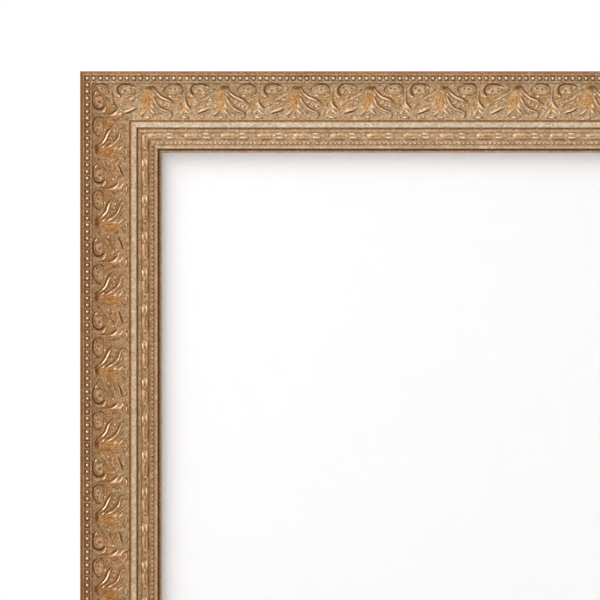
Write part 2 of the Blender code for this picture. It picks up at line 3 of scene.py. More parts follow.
import bpy
import numpy as np
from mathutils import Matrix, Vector


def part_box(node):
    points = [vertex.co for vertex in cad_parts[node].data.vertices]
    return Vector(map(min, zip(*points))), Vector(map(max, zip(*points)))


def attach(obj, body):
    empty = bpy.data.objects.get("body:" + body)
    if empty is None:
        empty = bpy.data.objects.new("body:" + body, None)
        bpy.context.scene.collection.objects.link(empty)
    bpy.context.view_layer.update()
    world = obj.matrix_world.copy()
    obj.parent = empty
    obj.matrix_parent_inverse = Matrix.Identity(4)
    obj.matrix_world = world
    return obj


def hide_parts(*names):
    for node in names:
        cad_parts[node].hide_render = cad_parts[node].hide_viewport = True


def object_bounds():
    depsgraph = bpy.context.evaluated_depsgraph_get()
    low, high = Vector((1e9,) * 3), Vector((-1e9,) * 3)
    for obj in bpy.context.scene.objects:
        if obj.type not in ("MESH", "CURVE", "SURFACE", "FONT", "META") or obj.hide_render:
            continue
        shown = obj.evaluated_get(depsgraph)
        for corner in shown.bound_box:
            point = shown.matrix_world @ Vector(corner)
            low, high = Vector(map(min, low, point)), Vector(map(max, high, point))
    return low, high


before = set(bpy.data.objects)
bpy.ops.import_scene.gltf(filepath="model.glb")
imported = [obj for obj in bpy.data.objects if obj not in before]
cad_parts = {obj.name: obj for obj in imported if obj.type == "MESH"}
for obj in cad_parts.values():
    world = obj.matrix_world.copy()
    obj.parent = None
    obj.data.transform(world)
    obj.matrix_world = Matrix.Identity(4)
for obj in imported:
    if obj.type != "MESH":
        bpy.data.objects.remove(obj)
cadLow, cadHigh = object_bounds()

mm = 0.001
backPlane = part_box("rail_top")[1].y / mm  # lengths below are in mm, and heights are up from the back
outerWidth = (cadHigh.x - cadLow.x) / mm
outerHeight = (cadHigh.z - cadLow.z) / mm
halfWidth, halfHeight = outerWidth / 2, outerHeight / 2

# each side runs clockwise seen from the front: its length, where its outer edge is, which way along
# and inward go, and whether its gilding gets the painted shade of the upright sides
sides = {
    "top": {"length": outerWidth, "edge": (0, halfHeight), "along": (1, 0), "inward": (0, -1), "uprightShade": 0},
    "right": {"length": outerHeight, "edge": (halfWidth, 0), "along": (0, -1), "inward": (-1, 0), "uprightShade": 1},
    "bottom": {"length": outerWidth, "edge": (0, -halfHeight), "along": (-1, 0), "inward": (0, 1), "uprightShade": 0},
    "left": {"length": outerHeight, "edge": (-halfWidth, 0), "along": (0, 1), "inward": (1, 0), "uprightShade": 1},
}


def onSide(side, along, inward, height):
    way = sides[side]
    x = way["edge"][0] + along * way["along"][0] + inward * way["inward"][0]
    z = way["edge"][1] + along * way["along"][1] + inward * way["inward"][1]
    return np.stack(np.broadcast_arrays(x, backPlane - height, z), -1) * mm


class Pin:
    # one socket of a node tree; expressions on pins add Math nodes
    specular = 0.2  # gilding, raw wood and board shine little

    def __init__(self, tree, socket=None):
        self.tree = tree
        self.socket = socket

    def add(self, kind, settings, inputs, out=0):
        node = self.tree.nodes.new(kind)
        for key, value in settings.items():
            setattr(node, key, value)
        for key, value in inputs.items():
            if isinstance(value, Pin):
                self.tree.links.new(value.socket, node.inputs[key])
            else:
                node.inputs[key].default_value = value
        return Pin(self.tree, node.outputs[out] if len(node.outputs) else None)

    def maths(self, operation, a, b):
        return self.add("ShaderNodeMath", {"operation": operation}, {0: a, 1: b})

    def __add__(self, other):
        return self.maths("ADD", self, other)

    def __sub__(self, other):
        return self.maths("SUBTRACT", self, other)

    def __rsub__(self, other):
        return self.maths("SUBTRACT", other, self)

    def __mul__(self, other):
        return self.maths("MULTIPLY", self, other)

    def __pow__(self, other):
        return self.maths("POWER", self, other)

    __radd__ = __add__
    __rmul__ = __mul__

    def between(self, low, high):
        # 0 at low, 1 at high, eased at both ends
        settings = {"interpolation_type": "SMOOTHSTEP"}
        return self.add("ShaderNodeMapRange", settings, {0: self, 1: low, 2: high, 3: 0.0, 4: 1.0})

    def tint(self, dark, light):
        # a colour from dark to light by this value
        colours = [c if isinstance(c, Pin) else (*c, 1) for c in (dark, light)]
        return self.add("ShaderNodeMix", {"data_type": "RGBA"}, {0: self, 6: colours[0], 7: colours[1]}, 2)

    def mark(self, name):
        return self.add("ShaderNodeAttribute", {"attribute_name": name}, {}, "Fac")

    def noise(self, scale, detail=3.0, rough=0.55, place=None, warp=0.0):
        place = place or self.place()
        values = {"Vector": place, "Scale": scale, "Detail": detail, "Roughness": rough, "Distortion": warp}
        return self.add("ShaderNodeTexNoise", {}, values, "Fac")

    def place(self, stretch=None):
        spot = self.add("ShaderNodeTexCoord", {}, {}, "Object")
        if stretch:
            spot = self.add("ShaderNodeVectorMath", {"operation": "MULTIPLY"}, {0: spot, 1: stretch})
        return spot

    def bump(self, distance, strength):
        values = {"Strength": strength, "Distance": distance * mm, "Height": self}
        return self.add("ShaderNodeBump", {}, values)

    def surface(self, **values):
        sockets = {"colour": "Base Color", "rough": "Roughness", "metal": "Metallic", "normal": "Normal"}
        inputs = {sockets[key]: value for key, value in values.items()}
        inputs["Specular IOR Level"] = self.specular
        self.show(self.add("ShaderNodeBsdfPrincipled", {}, inputs))

    def show(self, shader):
        self.add("ShaderNodeOutputMaterial", {}, {0: shader})


def newFinish(name):
    material = bpy.data.materials.new(name)
    material.use_nodes = True
    material.node_tree.nodes.clear()
    return material, Pin(material.node_tree)


gilding = {
    "worn": (0.545, 0.332, 0.168),  # warmer, rubbed parts of the ground
    "bright": (0.96, 0.75, 0.55),
    "paintedGlint": (1.0, 0.83, 0.62),
    "ochre": (0.60, 0.286, 0.079),
    "pale": (0.535, 0.441, 0.315),
    "olive": (0.295, 0.211, 0.115),  # darker olive tone: painted shade on the rim and on the fillet beside the beads; also the low ground of the carving
    "hollow": (0.19, 0.062, 0.010),
    "uprightShade": (0.81, 0.712, 0.61),  # what the painted shade of the upright sides leaves of each colour
    "metal": 0.38,
    "rough": 0.42,
    "bump": (0.1, 0.7),
    # noise scale, detail and roughness
    "cloud": (75, 4, 0.6),
    "mottle": (380, 3, 0.6),
    "speck": (900, 4, 0.65),
    "grit": (2600, 2, 0.5),
}
# grain is how strongly the speckle shows, the shares how dark the patina and painted shade in hollows and how
# bright rubbed tops and painted highlights get
gildings = {
    "frieze": {"ground": (0.465, 0.312, 0.148), "grain": 1.45, "hollowShare": 0.98, "brightShare": 1.0},
    "courses": {"ground": (0.415, 0.272, 0.13), "grain": 1.2, "hollowShare": 0.92, "brightShare": 0.62,
                "rough": 0.4},
    "rails": {"ground": (0.42, 0.272, 0.132), "grain": 1.25, "hollowShare": 0.85, "brightShare": 0.5},
}


def giltFinish(name, look):
    material, pin = newFinish(name)
    marks = ("proud", "hollow", "ochre", "pale", "olive", "uprightShade")
    proud, hollow, ochre, pale, olive, uprightShade = (pin.mark(mark) for mark in marks)
    cloud, mottle, speck, grit = (pin.noise(*look[noise]) for noise in ("cloud", "mottle", "speck", "grit"))
    grain, brightShare = look["grain"], look["brightShare"]
    # washes over the ground, broken up by the noise
    colour = cloud.between(0.38, 0.64).tint(look["ground"], look["worn"])
    colour = (ochre * (0.64 + 0.4 * speck)).tint(colour, look["ochre"])
    colour = (pale * (0.86 + 0.2 * cloud)).tint(colour, look["pale"])
    colour = (olive * (0.7 + 0.5 * speck)).tint(colour, look["olive"])
    # rubbed tops and painted highlights
    polishAndHighlight = proud.between(0.3, 1.0) * brightShare * (0.4 + 1.1 * speck)
    colour = polishAndHighlight.tint(colour, look["bright"])
    # painted glint: a near-white highlight on the brightest marks, less on the upright sides
    colour = (proud.between(0.7, 1.0) * brightShare * (1 - 0.3 * uprightShade)).tint(colour, look["paintedGlint"])
    # dark and light specks, and patina and painted shade in the hollows
    clean = 1 - 0.85 * polishAndHighlight
    patches = (speck.between(0.5, 0.68) * 0.34 + mottle.between(0.5, 0.72) * 0.24) * grain * clean
    rubbed = ((1 - speck.between(0.34, 0.48)) * 0.32 + (1 - mottle.between(0.28, 0.48)) * 0.24) * grain
    colour = patches.tint(colour, look["hollow"])
    colour = rubbed.tint(colour, look["bright"])
    patinaAndShade = hollow * look["hollowShare"] * (0.75 + 0.5 * speck) * clean
    colour = patinaAndShade.between(0.02, 0.98).tint(colour, look["hollow"])
    # painted shade on the upright sides: their colours darker and deeper, less where polished, pale or olive
    sideShaded = pin.add("ShaderNodeVectorMath", {"operation": "MULTIPLY"}, {0: colour, 1: look["uprightShade"]})
    colour = (uprightShade * (1 - 0.52 * polishAndHighlight - 0.42 * pale - 0.08 * olive)).tint(colour, sideShaded)
    height = mottle * 0.5 + speck * 0.4 + grit * 0.2
    pin.surface(
        colour=colour,
        rough=look["rough"] + 0.28 * patinaAndShade + 0.2 * (speck - 0.5) - 0.1 * polishAndHighlight,
        metal=look["metal"] - look["metal"] * 0.3 * patinaAndShade + 0.6 * polishAndHighlight,
        normal=height.bump(*look["bump"]),
    )
    return material


edging = {
    "colour": (0.235, 0.125, 0.055), "rubbed": (0.36, 0.215, 0.105), "dark": (0.10, 0.045, 0.018),
    "metal": 0.3, "rough": 0.5, "bump": (0.06, 0.5),
    "brushed": (0.06, 1, 0.06),  # how the strokes are drawn out along the sides
}


def edgeFinish(name, look):
    # bronze paint brushed along the outer sides
    material, pin = newFinish(name)
    strokes = pin.noise(420, 4, 0.6, pin.place(look["brushed"]))
    cloud = pin.noise(40, 3)
    speck = pin.noise(1500, 3)
    rubbed = strokes.between(0.35, 0.7) * 0.7 + cloud.between(0.35, 0.7) * 0.3
    colour = rubbed.tint(look["colour"], look["rubbed"])
    colour = (speck.between(0.56, 0.74) * 0.4).tint(colour, look["dark"])
    pin.surface(
        colour=colour,
        metal=look["metal"],
        rough=look["rough"] + 0.2 * (strokes - 0.5),
        normal=(strokes * 0.7 + speck * 0.3).bump(*look["bump"]),
    )
    return material


timber = {
    "late": (0.40, 0.235, 0.115), "early": (0.60, 0.41, 0.235),
    "pores": (0.2, 0.1, 0.045), "stain": (0.33, 0.2, 0.11),
    "ringScale": 95, "rings": 9.0, "rough": 0.68, "bump": (0.12, 0.55),
    "stretch": {"x": (0.05, 1, 1), "z": (1, 1, 0.05)},
}


def timberFinish(name, look, lengthwise):
    # raw wood, its grain along x or z
    material, pin = newFinish(name)
    place = pin.place(look["stretch"][lengthwise])
    rings = pin.noise(look["ringScale"], 2, 0.45, place, 1.2) * look["rings"]
    grain = pin.noise(900, 4, 0.6, place)
    pores = pin.noise(2400, 2, 0.6, place)
    bands = rings.maths("PINGPONG", rings, 1.0)
    colour = (bands.between(0.1, 0.9) * 0.7 + grain * 0.3).tint(look["early"], look["late"])
    colour = (pores.between(0.56, 0.74) * 0.35).tint(colour, look["pores"])
    colour = (pin.noise(22, 3).between(0.45, 0.75) * 0.3).tint(colour, look["stain"])
    pin.surface(
        colour=colour,
        rough=look["rough"] + 0.18 * (grain - 0.5),
        normal=(grain * 0.6 + pores * 0.4).bump(*look["bump"]),
    )
    return material


metals = {
    "zinc": {"colour": (0.56, 0.57, 0.57), "dull": (0.40, 0.405, 0.40), "rough": 0.34},
    "brass": {"colour": (0.76, 0.54, 0.21), "dull": (0.46, 0.29, 0.10), "rough": 0.30},
    "fleck": (0.16, 0.14, 0.12),
    "bump": (0.03, 0.5),
}


def metalFinish(name, look):
    material, pin = newFinish(name)
    cloud = pin.noise(260, 4, 0.62)
    scratch = pin.noise(2200, 3, 0.6, pin.place((1, 1, 0.12)))
    speck = pin.noise(3800, 2)
    colour = cloud.between(0.35, 0.72).tint(look["colour"], look["dull"])
    colour = (speck.between(0.6, 0.75) * 0.3).tint(colour, metals["fleck"])
    pin.surface(
        colour=colour,
        metal=1.0,
        rough=look["rough"] + 0.22 * (cloud - 0.4) + 0.12 * (scratch - 0.5),
        normal=(scratch * 0.6 + speck * 0.4).bump(*metals["bump"]),
    )
    return material


boards = {
    "mount": {
        "colour": (0.963, 0.954, 0.959), "fleck": (0.923, 0.911, 0.91),
        "rough": 0.82, "scale": 700, "bump": (0.03, 0.5), "clouding": 0.0,
    },
    "backing": {
        "colour": (0.29, 0.17, 0.088), "fleck": (0.15, 0.082, 0.04),
        "rough": 0.7, "scale": 800, "bump": (0.08, 0.5), "clouding": 0.25,
    },
}


def boardFinish(name, look):
    # paper or fibre board: soft clouding, fine flecks and a felted surface
    material, pin = newFinish(name)
    fibre = pin.noise(look["scale"], 5, 0.65, None, 0.6)
    cloud = pin.noise(18, 3)
    strands = pin.noise(look["scale"] * 1.8, 2, 0.5, pin.place((0.3, 1, 1)))
    shade = fibre.between(0.48, 0.78) * 0.5 + strands.between(0.55, 0.75) * 0.35
    shade = shade + (cloud - 0.5) * look["clouding"]
    pin.surface(
        colour=shade.tint(look["colour"], look["fleck"]),
        rough=look["rough"] + 0.1 * (fibre - 0.5),
        normal=(fibre * 0.7 + strands * 0.3).bump(*look["bump"]),
    )
    return material


rubber = {
    "dark": (0.19, 0.18, 0.165), "light": (0.27, 0.26, 0.24), "fleck": (0.42, 0.41, 0.39),
    "rough": 0.52, "bump": (0.04, 0.5),
}


def rubberFinish(name, look):
    material, pin = newFinish(name)
    cloud = pin.noise(300, 3)
    speck = pin.noise(3000, 2)
    colour = cloud.between(0.3, 0.7).tint(look["dark"], look["light"])
    colour = (speck.between(0.58, 0.72) * 0.4).tint(colour, look["fleck"])
    pin.surface(
        colour=colour,
        rough=look["rough"] + 0.2 * (cloud - 0.5),
        normal=(cloud * 0.5 + speck * 0.5).bump(*look["bump"]),
    )
    return material


pane = {"clear": (0.99, 0.99, 0.99, 1), "gloss": (1, 1, 1, 1), "rough": 0.02, "faceOn": 0.035, "edgeOn": 0.9}


def paneFinish(name, look):
    # a thin pane: clear, with a reflection that grows towards the edges of view
    material, pin = newFinish(name)
    gloss = pin.add("ShaderNodeBsdfGlossy", {}, {"Color": look["gloss"], "Roughness": look["rough"]})
    clear = pin.add("ShaderNodeBsdfTransparent", {}, {"Color": look["clear"]})
    slant = pin.add("ShaderNodeLayerWeight", {}, {"Blend": 0.5}, "Facing")
    smear = pin.noise(30, 3).between(0.4, 0.8)
    share = (look["faceOn"] + look["edgeOn"] * slant ** 5.0) * (0.85 + 0.15 * smear)
    pin.show(pin.add("ShaderNodeMixShader", {}, {0: share, 1: clear, 2: gloss}))
    return material


finishes = {
    "frieze": giltFinish("antiqueGilt", {**gilding, **gildings["frieze"]}),
    "courses": giltFinish("paleGilt", {**gilding, **gildings["courses"]}),
    "rails": giltFinish("gildedWood", {**gilding, **gildings["rails"]}),
    "edges": edgeFinish("bronzedEdge", edging),
    "timberX": timberFinish("rawTimberAcross", timber, "x"),
    "timberZ": timberFinish("rawTimberUp", timber, "z"),
    "zinc": metalFinish("zincPlate", metals["zinc"]),
    "brass": metalFinish("brassPlate", metals["brass"]),
    "rubber": rubberFinish("greyRubber", rubber),
    "pane": paneFinish("clearPane", pane),
    "mount": boardFinish("whiteMountBoard", boards["mount"]),
    "backing": boardFinish("brownFibreboard", boards["backing"]),
}
print("finishes:", len(finishes))


def makePiece(name, shells, slots, replaced, body="frame"):
    # a shell holds points in metres, marks for its points, and rows of (corners, finish, smooth, map)
    points, corners, counts, finishOf, smooth, places = [], [], [], [], [], []
    first = 0
    marks = {}
    total = sum(len(s["points"]) for s in shells)
    for shell in shells:
        size = len(shell["points"])
        points.append(shell["points"])
        for rows, slot, isSmooth, spots in shell["rows"]:
            rows = np.asarray(rows)
            corners.append((rows + first).ravel())
            counts.append(np.full(len(rows), rows.shape[1]))
            finishOf.append(np.full(len(rows), slot))
            smooth.append(np.full(len(rows), isSmooth))
            places.append(np.zeros((rows.size, 2)) if spots is None else np.reshape(spots, (-1, 2)))
        for mark, values in shell.get("marks", {}).items():
            marks.setdefault(mark, np.zeros(total))[first:first + size] = np.ravel(values)
        first += size
    points, corners, counts = np.concatenate(points), np.concatenate(corners), np.concatenate(counts)
    mesh = bpy.data.meshes.new(name)
    mesh.vertices.add(len(points))
    mesh.vertices.foreach_set("co", points.astype(np.float32).ravel())
    mesh.loops.add(len(corners))
    mesh.loops.foreach_set("vertex_index", corners.astype(np.int32))
    mesh.polygons.add(len(counts))
    mesh.polygons.foreach_set("loop_start", np.concatenate([[0], np.cumsum(counts)[:-1]]).astype(np.int32))
    mesh.polygons.foreach_set("material_index", np.concatenate(finishOf).astype(np.int32))
    mesh.polygons.foreach_set("use_smooth", np.concatenate(smooth).astype(bool))
    mesh.update(calc_edges=True)
    for mark, values in marks.items():
        mesh.attributes.new(mark, "FLOAT", "POINT").data.foreach_set("value", values.astype(np.float32))
    places = np.concatenate(places)
    if np.ptp(places) > 0:
        mesh.uv_layers.new(name="OFBake").uv.foreach_set("vector", places.astype(np.float32).ravel())
    for slot in slots:
        mesh.materials.append(finishes[slot])
    piece = bpy.data.objects.new(name, mesh)
    bpy.context.scene.collection.objects.link(piece)
    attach(piece, body)
    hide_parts(*replaced)


mapMargin, foldMargin = 0.004, 0.01  # room at the ends of a strip's map and between its folds
capMap = 0.00005  # scale of the mitre faces in the map


def sweepSide(side, inward, height, stops, marks, slotOf, smoothOf, folds, capSlot=0):
    # a closed section carried along a side and cut at 45 degrees at both ends;
    # slotOf and smoothOf go by section edge
    reach = sides[side]["length"] / 2 - inward
    height = np.broadcast_to(height, (len(stops), len(inward)))
    points = onSide(side, np.outer(stops, reach), inward[None, :], height)
    count, around = len(stops), len(inward)
    grid = np.arange(count * around).reshape(count, around)
    after = np.roll(grid, -1, axis=1)
    quads = np.stack([grid[:-1], after[:-1], after[1:], grid[1:]], -1)
    # the map: the strip folded into rows, so that a square picture holds it evenly
    middle = height[count // 2]
    edge = np.hypot(np.diff(inward, append=inward[0]), np.diff(middle, append=middle[0]))
    turn = np.concatenate([[0], np.cumsum(edge) / edge.sum()])
    perFold = math.ceil((count - 1) / folds)
    fold, step = np.divmod(np.arange(count - 1), perFold)
    u = mapMargin + (1 - 2 * mapMargin) * np.stack([step, step + 1], -1)[:, None, :] / perFold
    v = foldMargin + (1 - 2 * foldMargin) * np.stack([turn[:-1], turn[1:]], -1)[None]
    v = (fold[:, None, None] + v) / folds
    u, v = np.broadcast_arrays(u[:, :, [0, 0, 1, 1]], v[:, :, [0, 1, 1, 0]])
    spots = np.stack([u, v], -1)
    rows = []
    for slot, isSmooth in sorted(set(zip(slotOf, smoothOf))):
        here = [j for j in range(around) if (slotOf[j], smoothOf[j]) == (slot, isSmooth)]
        rows.append((quads[:, here].reshape(-1, 4), slot, isSmooth, spots[:, here].reshape(-1, 8)))
    cap = np.stack([inward, middle], -1) * capMap
    rows.append(([grid[0][::-1]], capSlot, False, cap[::-1]))
    rows.append(([grid[-1]], capSlot, False, cap))
    marks = {**marks, "uprightShade": sides[side]["uprightShade"]}
    marks = {m: np.broadcast_to(v, (count, around)).ravel() for m, v in marks.items()}
    return {"points": points.reshape(-1, 3), "rows": rows, "marks": marks}


def stripGrid(side, inward, middle, cell):
    # stations along a strip as shares of its half length, and where its points are along the side
    length = sides[side]["length"]
    stops = np.linspace(-1, 1, round((length - 2 * middle) / cell) + 1)
    return stops, np.outer(stops, length / 2 - inward)


def withSides(marks, count):
    # marks on a strip's face, and beside them the dark points of its sides and back
    sideMarks = {"hollow": 0.9}
    return {m: np.hstack([v, np.full((len(v), count), sideMarks.get(m, 0.0))]) for m, v in marks.items()}


def tileGrid(look):
    # middles of the cells of one repeat, along it and across it
    columns, rows = round(look["pitch"] / look["tileCell"]), round(look["width"] / look["tileCell"])
    along = (np.arange(columns) + 0.5) * look["pitch"] / columns
    across = (np.arange(rows) + 0.5) * look["width"] / rows
    return np.meshgrid(along, across)


def smoothLine(knots, steps):
    # a curve through the knots
    knots = np.array(knots, float)
    ends = np.vstack([2 * knots[0] - knots[1], knots, 2 * knots[-1] - knots[-2]])
    line = []
    for k in range(len(knots) - 1):
        a, b, c, d = ends[k:k + 4]
        for t in np.arange(steps) / steps:
            bend = (2 * a - 5 * b + 4 * c - d) * t * t + (3 * b - a - 3 * c + d) * t ** 3
            line.append(0.5 * (2 * b + (c - a) * t + bend))
    return np.array(line + [knots[-1]])


def stroke(u, v, knots, steps=5):
    # a rounded ridge along a line whose knots give place, half width and height
    tiny, leastHalf = 1e-9, 1e-3
    line = smoothLine(knots, steps)
    ridge = np.zeros_like(u)
    for a, b in zip(line[:-1], line[1:]):
        room = max(a[2], b[2])
        low, high = np.minimum(a[:2], b[:2]) - room, np.maximum(a[:2], b[:2]) + room
        near = (u > low[0]) & (u < high[0]) & (v > low[1]) & (v < high[1])
        du, dv = b[0] - a[0], b[1] - a[1]
        t = ((u[near] - a[0]) * du + (v[near] - a[1]) * dv) / (du * du + dv * dv + tiny)
        t = np.clip(t, 0, 1)
        away = np.hypot(u[near] - a[0] - t * du, v[near] - a[1] - t * dv)
        q = np.clip(away / np.maximum(a[2] + (b[2] - a[2]) * t, leastHalf), 0, 1)
        ridge[near] = np.maximum(ridge[near], (a[3] + (b[3] - a[3]) * t) * np.sqrt(1 - q * q))
    return ridge


def boss(u, v, cu, cv, ru, rv, rise):
    return rise * np.sqrt(1 - np.clip(((u - cu) / ru) ** 2 + ((v - cv) / rv) ** 2, 0, 1))


def patch(u, v, cu, cv, ru, rv, strength):
    # an oval with soft edges
    return strength * np.exp(-(((u - cu) / ru) ** 2 + ((v - cv) / rv) ** 2) ** 2)


def hump(x, centre, half, power=2):
    # 1 at the centre, falling off to both sides
    return np.exp(-((x - centre) / half) ** power)


def ramp(x, low, high):
    # 0 at low, 1 at high
    return np.clip((x - low) / (high - low), 0, 1)


def ovalKnots(cu, cv, ru, rv, half, rise, count=40):
    turn = np.linspace(0, 2 * math.pi, count)
    return [(cu + ru * math.cos(a), cv + rv * math.sin(a), half, rise) for a in turn]


def soften(field, cells):
    # a blur that wraps lengthwise
    reach = int(3 * cells) + 1
    weight = np.exp(-0.5 * (np.arange(-reach, reach + 1) / cells) ** 2)
    weight /= weight.sum()
    wide = np.pad(field, ((0, 0), (reach, reach)), "wrap")
    field = sum(w * wide[:, i:i + field.shape[1]] for i, w in enumerate(weight))
    tall = np.pad(field, ((reach, reach), (0, 0)), "edge")
    return sum(w * tall[i:i + field.shape[0]] for i, w in enumerate(weight))


def sampleTile(tile, share, depth):
    # bilinear: share runs once round the repeat, depth from 0 to 1 across it
    rows, columns = tile.shape
    x = (share % 1.0) * columns - 0.5
    y = np.clip(depth * rows - 0.5, 0, rows - 1.001)
    left, above = np.floor(x).astype(int), np.floor(y).astype(int)
    fx, fy = x - left, y - above
    left, right = left % columns, (left + 1) % columns
    upper = tile[above, left] * (1 - fx) + tile[above, right] * fx
    lower = tile[above + 1, left] * (1 - fx) + tile[above + 1, right] * fx
    return upper * (1 - fy) + lower * fy


# one moulding, swept along the four sides
moulding = {
    # in from the outer edge, up from the back, corner radius, then hollow, ochre and pale
    "section": [
        (0.0, 0.0, 0.5, 0.35, 0.3, 0.0),
        # the rim's outer rounding is darkened by its hollow value, as painted shade
        (0.0, 27.4, 1.7, 0.69, 0.06, 0.0),
        (2.72, 27.4, 0.45, 0.16, 0.1, 0.0),
        (2.72, 24.2, 0.0, 1.0, 0.0, 0.0),
        (6.2, 24.2, 0.0, 1.0, 0.0, 0.0),
        (6.2, 26.6, 0.3, 0.32, 0.0, 0.3),
        (7.6, 26.6, 0.3, 0.4, 0.0, 0.3),
        (7.6, 23.6, 0.0, 1.0, 0.0, 0.0),
        (13.4, 20.3, 0.0, 1.0, 0.0, 0.0),
        (19.2, 17.9, 0.0, 1.0, 0.0, 0.0),
        (24.9, 16.4, 0.0, 1.0, 0.0, 0.0),
        (30.7, 15.7, 0.0, 0.27, 1.0, 0.0),
        (30.7, 16.5, 0.0, 0.36, 1.0, 0.0),
        (31.8, 16.5, 0.3, 0.44, 1.0, 0.0),
        (31.8, 18.8, 0.6, 0.05, 0.3, 0.85),
        (35.3, 18.8, 0.6, 0.0, 0.0, 1.0),
        (35.3, 15.9, 0.3, 0.45, 0.6, 0.0),
        (36.2, 15.9, 0.3, 0.28, 0.6, 0.0),
        (36.2, 17.0, 0.35, 0.2, 0.1, 0.25),
        (38.2, 17.0, 0.35, 0.36, 0.1, 0.3),
        (38.2, 14.2, 0.0, 1.0, 0.0, 0.0),
        (46.5, 14.2, 0.0, 1.0, 0.0, 0.0),
        (46.5, 16.3, 0.5, 0.34, 0.0, 0.34),
        (48.45, 16.3, 0.5, 0.1, 0.0, 0.6),
        (48.45, 13.6, 0.2, 0.7, 0.3, 0.0),
        (49.5, 13.6, 0.2, 0.75, 0.4, 0.0),
        (49.5, 15.2, 0.4, 0.55, 0.4, 0.0),
        (50.8, 15.2, 0.6, 0.36, 0.35, 0.2),
        (50.8, 9.4, 0.0, 0.5, 0.6, 0.0),
        (44.45, 9.4, 0.0, 0.0, 0.0, 0.0),
        (44.45, 0.0, 0.4, 0.0, 0.0, 0.0),
    ],
    "olive": {1: 0.4, 2: 0.2, 5: 0.7, 6: 0.7},  # corners of the section with the darker olive tone as painted shade, and how strong
    "uprightShadeDark": 0.14,  # how much darker its hollows are on the upright sides, as painted shade
    "arcSteps": 6,
    "lengthSteps": 24,
    "folds": 3,
}


def roundedSection(corners, arcSteps):
    # each corner becomes an arc of its radius, and keeps its marks
    out = []
    for k, corner in enumerate(corners):
        here, radius = np.array(corner[:2]), corner[2]
        before, after = np.array(corners[k - 1][:2]), np.array(corners[(k + 1) % len(corners)][:2])
        if radius <= 0:
            out.append(corner[:2] + corner[3:] + (k,))
            continue
        a = (before - here) / np.linalg.norm(before - here)
        b = (after - here) / np.linalg.norm(after - here)
        opening = math.acos(np.clip(a @ b, -1, 1))
        pull = radius / math.tan(opening / 2)
        centre = here + (a + b) / np.linalg.norm(a + b) * radius / math.sin(opening / 2)
        start, end = here + a * pull - centre, here + b * pull - centre
        sweep = math.pi - opening
        for t in np.linspace(0, 1, arcSteps + 1):
            p = centre + (start * math.sin((1 - t) * sweep) + end * math.sin(t * sweep)) / math.sin(sweep)
            out.append((p[0], p[1]) + corner[3:] + (k,))
    return np.array(out)


def makeRails(look):
    ring = roundedSection(look["section"], look["arcSteps"])
    inward, height, hollow, ochre, pale, corner = ring.T
    rawFrom = len(look["section"]) - 3  # the underside of the lip, the rabbet and the back are bare wood
    slotOf = [1 if c >= rawFrom else 2 if c == 0 else 0 for c in corner]
    olive = np.array([look["olive"].get(int(c), 0.0) for c in corner])
    stops = np.linspace(-1, 1, look["lengthSteps"] + 1)
    flat = [False] * len(ring)
    for side, way in sides.items():
        dark = hollow * (1 + look["uprightShadeDark"] * way["uprightShade"])
        marks = {"hollow": dark, "ochre": ochre, "pale": pale, "olive": olive, "proud": 0.0}
        shell = sweepSide(side, inward, height, stops, marks, slotOf, flat, look["folds"], capSlot=1)
        wood = "timberX" if side in ("top", "bottom") else "timberZ"
        makePiece("moulding_" + side, [shell], ["rails", wood, "edges"], ["rail_" + side])


makeRails(moulding)
print("rails: 4")


